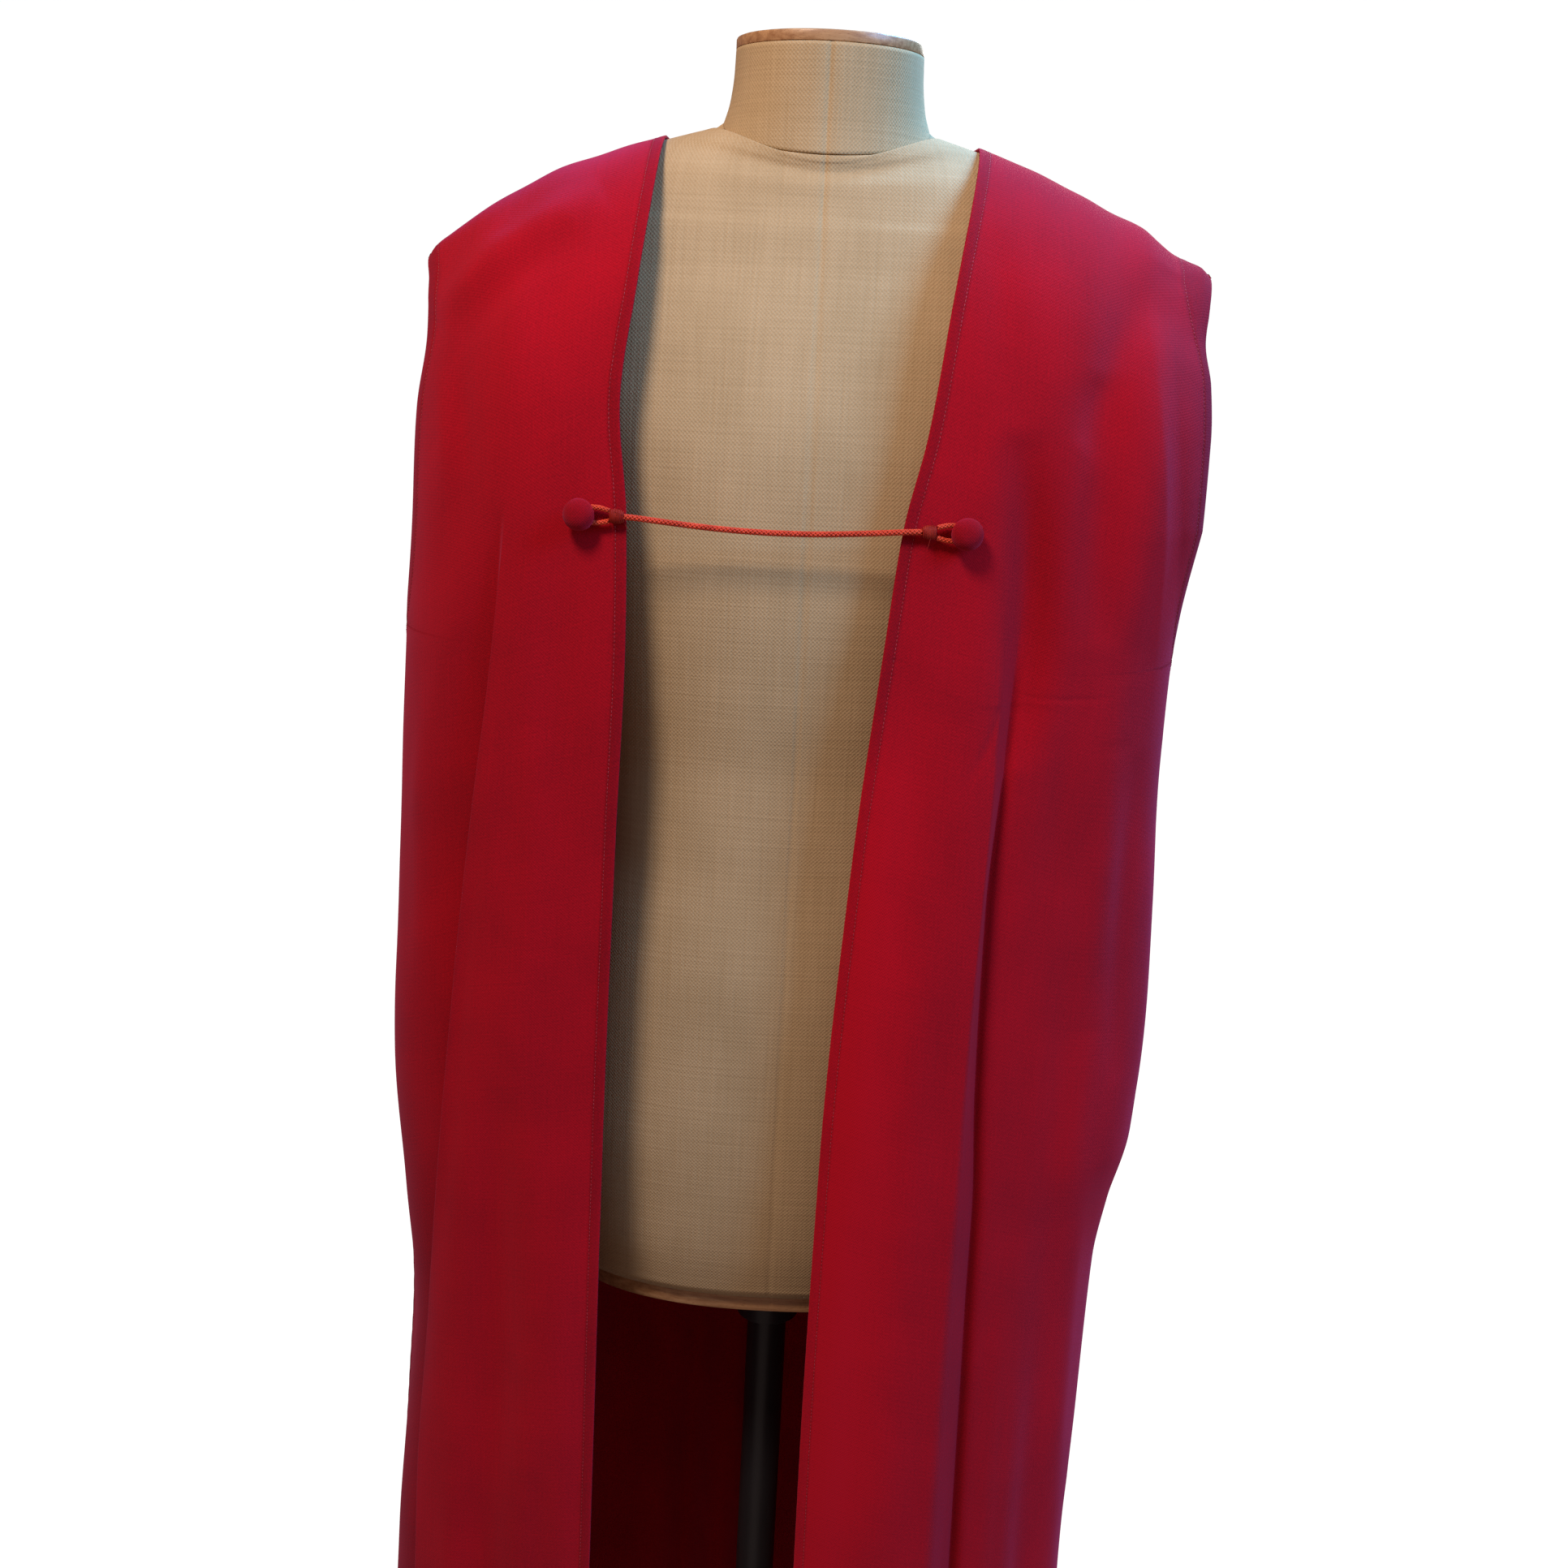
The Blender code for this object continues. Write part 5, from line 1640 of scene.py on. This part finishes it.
def hang_back():
    """The back, in one piece from side to side."""
    halves = [back_half(LEFT), back_half(RIGHT)]
    grid = np.concatenate([halves[0], halves[1][:, -2::-1]], axis=1)
    wing = len(BACK_LAYOUT[0][0]) + BACK_LAYOUT[0][1]
    last = grid.shape[1] - 1
    start = -lengths_along(grid, 1)[:, last // 2]
    return hang(
        "back_cloth",
        grid,
        back_relief(grid),
        np.zeros(grid.shape[:2]),
        [
            np.s_[0:1, : wing + 1],
            np.s_[0:1, last - wing :],
            np.s_[BACK_SEAM_ROW:, 0:1],
            np.s_[BACK_SEAM_ROW:, -1:],
        ],
        1,
        [
            ("neck", lambda s: s[0, wing : last - wing + 1], FRONT_HEM),
            ("arm_left", lambda s: s[: BACK_SEAM_ROW + 1, 0], ARM_HEM),
            ("arm_right", lambda s: s[: BACK_SEAM_ROW + 1, -1], ARM_HEM),
            ("foot", lambda s: s[-1], FOOT_HEM),
        ],
        [
            lambda s: s[0, : wing + 1],
            lambda s: s[0, last - wing :],
            lambda s: s[BACK_SEAM_ROW:, 0],
            lambda s: s[BACK_SEAM_ROW:, -1],
        ],
        start,
    )


fronts, cut = {}, {}
for word, side in SIDES.items():
    fronts[side], cut[side] = hang_front(word)
    stands_for(fronts[side], "red_cloth", f"front_{word}")
back, cut["back"] = hang_back()
stands_for(back, "red_cloth", "back")

# %% [markdown]
# ## Topstitching
#
# A machine's stitches are about 2.5 mm long, and each dives into the cloth at both ends, so a row
# of them looks like a row of grains. The rows are found where the distance from an edge is that of
# the needle, and each stitch is a small rounded bar there, in one mesh for each piece.

# %% Sew the hems
STITCH_PITCH, STITCH_LENGTH, STITCH_THICK = 2.5 * MM, 2.0 * MM, 0.21 * MM


def level_line(piece, label, level, axis, backwards):
    """Points and normals where the distance from an edge is level, one for each row or column."""
    surface, facing, field = piece["surface"], piece["facing"], piece["fields"][label]
    if axis == "columns":
        surface, facing = surface.transpose(1, 0, 2), facing.transpose(1, 0, 2)
        field = field.T
    if backwards:
        surface, facing, field = surface[:, ::-1], facing[:, ::-1], field[:, ::-1]
    points, ways = [], []
    for places, outwards, far in zip(surface, facing, field):
        if far[0] >= level or far.max() < level:
            continue
        i = int(np.argmax(far >= level))
        t = (level - far[i - 1]) / (far[i] - far[i - 1])
        points.append(places[i - 1] * (1 - t) + places[i] * t)
        ways.append(outwards[i - 1] * (1 - t) + outwards[i] * t)
    return np.array(points), unit(ways)


def sewn_row(points, ways):
    """The points and faces of a row of stitches along a line on the cloth."""
    along = lengths_along(points)
    starts = np.arange(0.6 * MM, along[-1] - STITCH_LENGTH, STITCH_PITCH)
    shares = np.array([0, 0.16, 0.5, 0.84, 1.0])
    sinks = np.array([-0.75, 0.35, 0.65, 0.35, -0.75]) * STITCH_THICK
    widths = np.array([0.55, 1, 1.1, 1, 0.55]) * STITCH_THICK
    turn = turns(STRAND_SIDES)[None, :, None]
    parts = []
    for start in starts:
        at = start + shares * STITCH_LENGTH
        centre, out = points_at(points, along, at), unit(points_at(ways, along, at))
        level = unit(np.cross(out, centre[-1] - centre[0]))
        centre = centre + out * sinks[:, None]
        spokes = np.cos(turn) * level[:, None] + np.sin(turn) * out[:, None]
        parts.append(rings_part(centre[:, None] + spokes * widths[:, None, None]))
    return parts


def sew(name, piece, rows):
    """All the stitches of a cut piece."""
    parts = []
    for label, wide, axis, backwards in rows:
        points, ways = level_line(piece, label, wide - STITCH_IN, axis, backwards)
        parts += sewn_row(points, ways)
    made = make_object(name, parts, RED_THREAD)
    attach(made, "root")
    print(name, len(parts), "stitches,", triangles(made), "triangles")
    return made


for word, side in SIDES.items():
    sew(
        f"front_{word}_stitches",
        cut[side],
        [
            ("edge", FRONT_HEM, "rows", side == RIGHT),
            ("arm", ARM_HEM, "rows", side == LEFT),
            ("foot", FOOT_HEM, "columns", True),
        ],
    )
sew(
    "back_stitches",
    cut["back"],
    [
        ("neck", FRONT_HEM, "columns", False),
        ("arm_left", ARM_HEM, "rows", False),
        ("arm_right", ARM_HEM, "rows", True),
        ("foot", FOOT_HEM, "columns", True),
    ],
)

# %% [markdown]
# ## Covered buttons
#
# Each button is a domed mould covered with a round of the robe's own cloth, which is gathered under
# the rim and sewn to a thread shank. The cloth is smooth over the dome and puckers only where it
# turns under, so the puckers fade out above the rim.

# %% Cover the buttons
BUTTON_SIDES = 72
BUTTON_PROFILE = table(
    "place radius out",
    (0, 0.0026, 0.0003),
    (1, 0.0026, 0.0056),
    (2, 0.0085, 0.0058),
    (3, 0.0095, 0.0068),
    (4, 0.0093, 0.0084),
    (5, 0.0081, 0.0106),
    (6, 0.0060, 0.0124),
    (7, 0.0032, 0.0135),
    (8, 0.0010, 0.0138),
)
PUCKERS = 17


def button(word):
    """A covered button: a dome on a thin shank, standing off the cloth."""
    side = SIDES[word]
    foot = on_front(side, BUTTON_ACROSS[side], CHEST, 0)
    axis = outwards_at(side, BUTTON_ACROSS[side])
    level = unit(np.cross(axis, UP))
    other = np.cross(level, axis)
    turn = turns(BUTTON_SIDES)[:, None]
    place = np.concatenate([np.linspace(0, 0.9, 4), np.linspace(1, 8, 46)])
    radius = follow(BUTTON_PROFILE, "radius", place, "place")
    out = follow(BUTTON_PROFILE, "out", place, "place")
    rings, grain = [], []
    for p, r, o in zip(place, radius, out):
        gathered = 0.16 * MM * bell(p - 2.1, 0.9) * np.cos(PUCKERS * turn + math.sin(3 * p))
        wide = r + gathered
        spokes = np.cos(turn) * level * wide + np.sin(turn) * other * wide
        rings.append(foot + o * axis + spokes)
        spread_out = r + 0.6 * (BUTTON_PROFILE["out"][-1] - o)
        flat = [np.cos(turn) * spread_out, np.sin(turn) * spread_out, 0 * turn]
        grain.append(np.concatenate(flat, axis=1))
    rims = np.repeat(bell(place - 3.2, 1.0), BUTTON_SIDES)
    marks = {"grain": np.concatenate(grain), "wear_and_painted_light": rims, "ply": 1 + 0 * rims}
    return make_object(f"button_{word}_covered", [rings_part(rings)], RED_CLOTH, marks)


for word in SIDES:
    stands_for(button(word), "red_cloth", f"button_{word}")

# %% [markdown]
# ## The dress form
#
# The form is a padded body covered in linen, sewn from panels that meet at the middle of the front
# and of the back and at the sides, with a separate neck. Tight linen over padding is fair and
# full, drawn in only along its seams. The rings are those of the solid, joined by smooth curves.

# %% Note the measures of the form
FORM_CLEAR = 0.0009  # below the cloth along the shoulders
FORM_BODY = table(
    "height across front back square",
    (0.740, 0.150, 0.094, 0.110, 2.3),
    (0.780, 0.161, 0.101, 0.119, 2.3),
    (0.860, 0.170, 0.105, 0.127, 2.3),
    (0.950, 0.162, 0.105, 0.119, 2.3),
    (1.040, 0.146, 0.101, 0.100, 2.3),
    (1.090, 0.145, 0.101, 0.097, 2.3),
    (1.150, 0.155, 0.106, 0.099, 2.3),
    (1.220, 0.174, 0.111, 0.103, 2.3),
    (1.290, 0.194, 0.107, 0.106, 2.3),
    (1.350, 0.211, 0.095, 0.104, 2.2),
    (1.385, 0.219, 0.084, 0.098, 2.1),
    (1.405, 0.220, 0.077, 0.091, 2.0),
)
FORM_SHOULDER = table(
    "across front back tilt square",
    (0.213, 0.072, 0.082, 0.02, 1.9),
    (0.195, 0.069, 0.074, 0.08, 1.8),
    (0.165, 0.066, 0.068, 0.14, 1.8),
    (0.135, 0.064, 0.063, 0.21, 1.8),
    (0.107, 0.060, 0.057, 0.27, 1.7),
    (0.086, 0.060, 0.056, 0.31, 1.9),
    (0.072, 0.0605, 0.055, 0.33, 2.0),
)
NECK_SEAM = 1.4867  # height of the seam between the body and the neck
NECK_RINGS = table(
    "rise across front back tilt",
    (0.000, 0.0640, 0.0600, 0.0540, 0.33),
    (0.014, 0.0600, 0.0575, 0.0520, 0.25),
    (0.030, 0.0580, 0.0565, 0.0510, 0.12),
    (0.0435, 0.0575, 0.0565, 0.0505, 0.0),
)
NECK_ROUND = 2.05  # how square the neck's round is, 2 being an oval
NECK_SETTLES = 0.004  # the neck's lower edge is lifted clear of the body within this height
BOARD_THICK = 0.012
BOARD_INSET = 0.004  # from the body's outline
print("the form's chest is", 2 * FORM_BODY["across"].max(), "m wide")

# %% Slice the form
FORM_SIDES = 112


def form_turns(seams):
    """Turns round the form, with more of them beside its seams."""
    even = turns(FORM_SIDES)
    beside = np.radians([-1.6, -0.8, -0.35, 0.35, 0.8, 1.6])
    return np.unique(np.round(np.concatenate([even, *(s + beside for s in seams)]) % FULL_TURN, 6))


def slice_of(turn, across, front_depth, back_depth, height, tilt, square, level):
    """A ring of the dress form. level is 1 for a plane ring, and 0 where only its middle tilts."""
    s, c = np.sin(turn), np.cos(turn)
    x = across * np.sign(s) * np.abs(s) ** (2 / square)
    depth = np.where(c > 0, back_depth, front_depth)
    y = depth * np.sign(c) * np.abs(c) ** (2 / square)
    return np.stack([x, y, height + tilt * y * (level + (1 - level) * c * c)], axis=1)


def form_ridge(across):
    """Height of the form's shoulders, clear below the cloth on both sides."""
    return min(ridge(side, across) for side in (RIGHT, LEFT)) - WALL - FORM_CLEAR


print("the form's shoulders are", round(float(form_ridge(0.2)), 4), "m up near their ends")

# %% Draw in the form's seams
FORM_SEAM_DIP, NECK_SEAM_DIP = 0.9 * MM, 0.7 * MM
FORM_SEAM_TURNS = np.radians([0, 90, 180, 270])  # the back, the left, the front and the right


def sewn_rings(rings, turn, seams, dip):
    """Rings drawn in along the seams that run up them."""
    rings = np.array(rings)
    middle = rings.mean(axis=1, keepdims=True)
    inward = unit((middle - rings) * (1, 1, 0))
    pull = np.zeros(rings.shape[:2])
    for seam in seams:
        at = int(np.argmin(np.abs(turn - seam)))
        far = np.linalg.norm(rings - rings[:, at : at + 1], axis=2)
        pull = np.maximum(pull, bell(far, 1.5 * MM) * dip)
        pull -= 0.5 * MM * bell(far - 7 * MM, 6 * MM)
    return rings + inward * pull[..., None]


def grain_of(rings):
    """How far round each point of a stack of rings is, from the front's seam, and its height."""
    round_it = lengths_along(rings, 1)
    front = int(np.argmin(rings[0, :, 1]))
    return round_it - round_it[:, front : front + 1], rings[..., 2]


print("seams up the form:", len(FORM_SEAM_TURNS))

# %% Pad and cover the form
def body_rings(turn):
    """The rings of the padded body, from the hips to the seam of the neck."""
    rows = [
        (z, x, front, back_, 0, square, 0)
        for z, x, front, back_, square in zip(*FORM_BODY.values())
    ]
    rows += [
        (form_ridge(x), x, front, back_, tilt, square, 0)
        for x, front, back_, tilt, square in zip(*FORM_SHOULDER.values())
    ]
    _, x, front, back_, tilt = (column[0] for column in NECK_RINGS.values())
    rows.append((NECK_SEAM, x, front, back_, tilt, NECK_ROUND, 1))
    columns = "place height across front back tilt square level"
    body = table(columns, *((i, *row) for i, row in enumerate(rows)))
    place = np.linspace(0, len(rows) - 1, 150)
    order = "across front back height tilt square level"
    return [slice_of(turn, *size) for size in zip(*follow_each(body, order, place, "place"))]


def neck_rings(turn, lift):
    """The rings of the neck, from its seam up to its cap."""
    rise = np.concatenate([[0, 0.0006, 0.0018], np.linspace(0.004, NECK_RINGS["rise"][-1], 26)])
    across, front, back_, tilt = follow_each(NECK_RINGS, "across front back tilt", rise, "rise")
    height = NECK_SEAM + rise + lift * (1 - ease(rise / NECK_SETTLES))
    sizes = zip(across, front, back_, height, tilt)
    return [slice_of(turn, *size, NECK_ROUND, 1) for size in sizes]


def covered(name, rings, slot, node):
    """A linen-covered piece from its rings."""
    rings = np.array(rings)
    round_it, height = grain_of(rings)
    grain = np.stack([round_it, height, 0 * height], axis=2).reshape(-1, 3)
    made = make_object(name, [rings_part(rings)], LINEN, {"grain": grain})
    stands_for(made, slot, node)
    return made


body_turns = form_turns(FORM_SEAM_TURNS)
body = sewn_rings(body_rings(body_turns), body_turns, FORM_SEAM_TURNS, FORM_SEAM_DIP)
torso = covered("form_torso_linen", body, "linen", "form_torso")
neck_turns = form_turns(FORM_SEAM_TURNS[[0, 2]])
neck = sewn_rings(neck_rings(neck_turns, GAP), neck_turns, FORM_SEAM_TURNS[[0, 2]], NECK_SEAM_DIP)
neck[0] += unit(neck[0].mean(axis=0) - neck[0]) * 0.8 * MM
neck_piece = covered("form_neck_linen", neck, "linen", "form_neck")

# %% [markdown]
# ## Cap, board and stand
#
# A thin board closes the form's neck and another its hips. Below it a flanged socket holds the
# pole, and the pole stands in a heavy round base. All of these are turned or sawn shapes with
# slightly rounded edges, because no sawn or cast edge is left sharp.

# %% Turn a round piece
TURNED_SIDES = 96


def eased_profile(radii, heights, ease_by):
    """A profile whose corners are each cut by a small arc."""
    line = np.stack([radii, heights], axis=1)
    out = [line[0]]
    for before, corner, after in zip(line, line[1:], line[2:]):
        size = min(ease_by, np.linalg.norm(corner - before) / 3, np.linalg.norm(after - corner) / 3)
        first, last = corner + unit(before - corner) * size, corner + unit(after - corner) * size
        for t in np.linspace(0, 1, 5):
            out.append(first * (1 - t) ** 2 + 2 * corner * t * (1 - t) + last * t * t)
    out.append(line[-1])
    return np.array(out)


def turned(name, radii, heights, node):
    """A turned piece with slightly rounded edges, from its lowest ring up."""
    inset = 1.5 * MM
    radii = np.concatenate([[radii[0] - inset], radii, [radii[-1] - inset]])
    heights = np.concatenate([heights[:1], heights, heights[-1:]])
    profile = eased_profile(radii, heights, 1.2 * MM)
    turn = turns(TURNED_SIDES)
    rings = [
        np.stack([r * np.cos(turn), r * np.sin(turn), z + 0 * turn], axis=1) for r, z in profile
    ]
    made = make_object(name, [rings_part(rings)], STEEL)
    stands_for(made, "painted_steel", node)
    return made


corner = eased_profile(np.array([0.02, 0.02, 0.01]), np.array([0, 0.01, 0.01]), 1.2 * MM)
print("points of a profile with one corner:", len(corner))

# %% Saw the two boards
CAP_RISE = 0.0065
BOARD_SIDES = 120


def board(name, outline, low, high, node):
    """A flat board from its outline, with rounded edges."""
    middle = outline.mean(axis=0) * (1, 1, 0)
    rings = []
    for inset, z in (
        (1.6, low),
        (0.5, low),
        (0.15, low + 0.15 * MM),
        (0, low + 0.5 * MM),
        (0, high - 1.2 * MM),
        (0.35, high - 0.35 * MM),
        (1.2, high),
        (3.0, high),
    ):
        way = (outline * (1, 1, 0)) - middle
        far = np.linalg.norm(way, axis=1, keepdims=True)
        rings.append(middle + way * (1 - inset * MM / far) + (0, 0, z))
    made = make_object(name, [rings_part(rings)], BEECH)
    stands_for(made, "varnished_beech", node)
    return made


even_turns = turns(BOARD_SIDES)
cap_outline = neck_rings(even_turns, 0)[-1]
cap_low = float(cap_outline[0, 2]) + GAP
board("form_neck_cap_beech", cap_outline, cap_low, cap_low + CAP_RISE, "form_neck_cap")
z, x, front_, back_, square = (column[0] for column in FORM_BODY.values())
sizes = [size - BOARD_INSET for size in (x, front_, back_)]
board_outline = slice_of(even_turns, *sizes, 0, 0, square, 0)
board_top = z - GAP
board("form_base_board_beech", board_outline, board_top - BOARD_THICK, board_top, "form_base_board")

# %% Stand it on its pole
SOCKET_PROFILE = table(
    "radius down", (0.045, 0.0), (0.045, 0.004), (0.022, 0.006), (0.022, 0.050)
)
POLE_RADIUS = 0.0140
BASE_PROFILE = table(
    "radius height",
    (0.195, 0.0),
    (0.195, 0.007),
    (0.191, 0.010),
    (0.110, 0.017),
    (0.042, 0.022),
    (0.030, 0.030),
    (0.027, 0.050),
    (0.023, 0.054),
)
socket_top = board_top - BOARD_THICK - GAP
socket_bottom = socket_top - SOCKET_PROFILE["down"][-1]
base_top = BASE_PROFILE["height"][-1]
turned(
    "stand_socket_steel",
    SOCKET_PROFILE["radius"][::-1],
    socket_top - SOCKET_PROFILE["down"][::-1],
    "stand_socket",
)
pole_ends = np.array([base_top + GAP, socket_bottom - GAP])
print("the pole shows", round(float(np.ptp(pole_ends)), 3), "m of its length")
turned("stand_pole_steel", np.array([POLE_RADIUS] * 2), pole_ends, "stand_pole")
turned("stand_base_steel", BASE_PROFILE["radius"], BASE_PROFILE["height"], "stand_base")

# %% [markdown]
# ## Floor and light
#
# The robe is seen by warm light from high up on the left, which falls off down the cloth: the
# shoulders are nearly three times as bright as the skirt. A small lamp quite near does the same,
# and throws the soft shadows of the buttons and of the roll. Cool light from a sky comes from the
# right, and a still bluer lamp above the right shoulder gives the cloth there its violet bloom.
# Light from behind shapes the back. The strengths were found by rendering each lamp alone and
# adding those pictures up to match the tones of the real one.
#
# The pale floor has a soft light of its own from above, so that it stays pale whatever the lamps
# do.

# %% Set the floor and the lamps
scene = bpy.context.scene
scene.view_settings.view_transform = "Standard"


def lamp(name, kind, place, aim, power, size, tint):
    """A lamp at a place, turned towards another."""
    data = bpy.data.lights.new(name, kind)
    data.energy = power
    data.color = colour(tint)[:3]
    if kind == "AREA":
        data.shape = "DISK"
        data.size = size
    else:
        data.angle = size
    made = bpy.data.objects.new(name, data)
    made.location = place
    made.rotation_mode = "QUATERNION"
    made.rotation_quaternion = (Vector(aim) - Vector(place)).to_track_quat("-Z", "Y")
    scene.collection.objects.link(made)
    return made


window = lamp("window_light", "AREA", (-0.6, -1.0, 2.6), (0, -0.1, 1.25), 23, 0.45, "FFE8DC")
sky_light = lamp("sky_light", "AREA", (1.5, -0.9, 2.3), (0.1, 0, 1.2), 42, 1.0, "84C0FF")
bloom = lamp("cool_bloom", "AREA", (0.9, 0.5, 2.8), (0.15, 0, 1.35), 56, 0.5, "5CB4FF")
behind = lamp("soft_behind", "AREA", (0.8, 2.3, 2.3), (0.0, 0.1, 1.0), 30, 1.4, "FFFFFF")
overhead = lamp("floor_light", "SUN", (0, 0, 5), (0, 0, 0), 3.4, math.radians(60), "FFFFFF")

FLOOR_HALF = 14.0
corners = [(-FLOOR_HALF, -FLOOR_HALF, 0), (FLOOR_HALF, -FLOOR_HALF, 0)]
corners += [(FLOOR_HALF, FLOOR_HALF, 0), (-FLOOR_HALF, FLOOR_HALF, 0)]
floor_finish = new_finish("pale_floor_painted", Base_Color=colour("F4F4F4"), Roughness=0.9)[0]
floor = make_object("floor", [(corners, [[0, 1, 2, 3]])], floor_finish)
floor.visible_diffuse = False
floor.visible_glossy = False
floor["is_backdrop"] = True

on_floor = bpy.data.collections.new("lit_by_floor_light")
on_floor.objects.link(floor)
overhead.light_linking.receiver_collection = on_floor
off_floor = bpy.data.collections.new("lit_by_lamps")
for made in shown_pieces():
    off_floor.objects.link(made)
for light in (window, sky_light, bloom, behind):
    light.light_linking.receiver_collection = off_floor

world = bpy.data.worlds.new("studio")
scene.world = world
world.use_nodes = True
sky = world.node_tree
sky.nodes.clear()
seen = add(sky, "LightPath").outputs["Is Camera Ray"]
room = add(sky, "Background", {"Color": colour("F8D8D0"), "Strength": 0.215})
backdrop = add(sky, "Background", {"Color": colour("FFFFFF"), "Strength": 1.02})
either = add(sky, "MixShader", {0: seen, 1: room.outputs[0], 2: backdrop.outputs[0]})
add(sky, "OutputWorld", {0: either.outputs[0]})

# %% [markdown]
# ## The size of each piece of cloth
#
# The three pieces of cloth are sheets, cut flat and hung. A flat piece can't know its own size once
# it hangs in folds, so each one's size is printed as measured along its folds: its widest row and
# its longest column. The hems that are turned under and the seams' allowances come on top of that.
# The form's body and neck are stuffed tight.

for side, made in ((RIGHT, fronts[RIGHT]), (LEFT, fronts[LEFT]), ("back", back)):
    down, across = (float(lengths_along(cut[side]["surface"], axis).max()) for axis in (0, 1))
    print(made.name, "hangs", round(across, 3), "m wide and", round(down, 3), "m long")
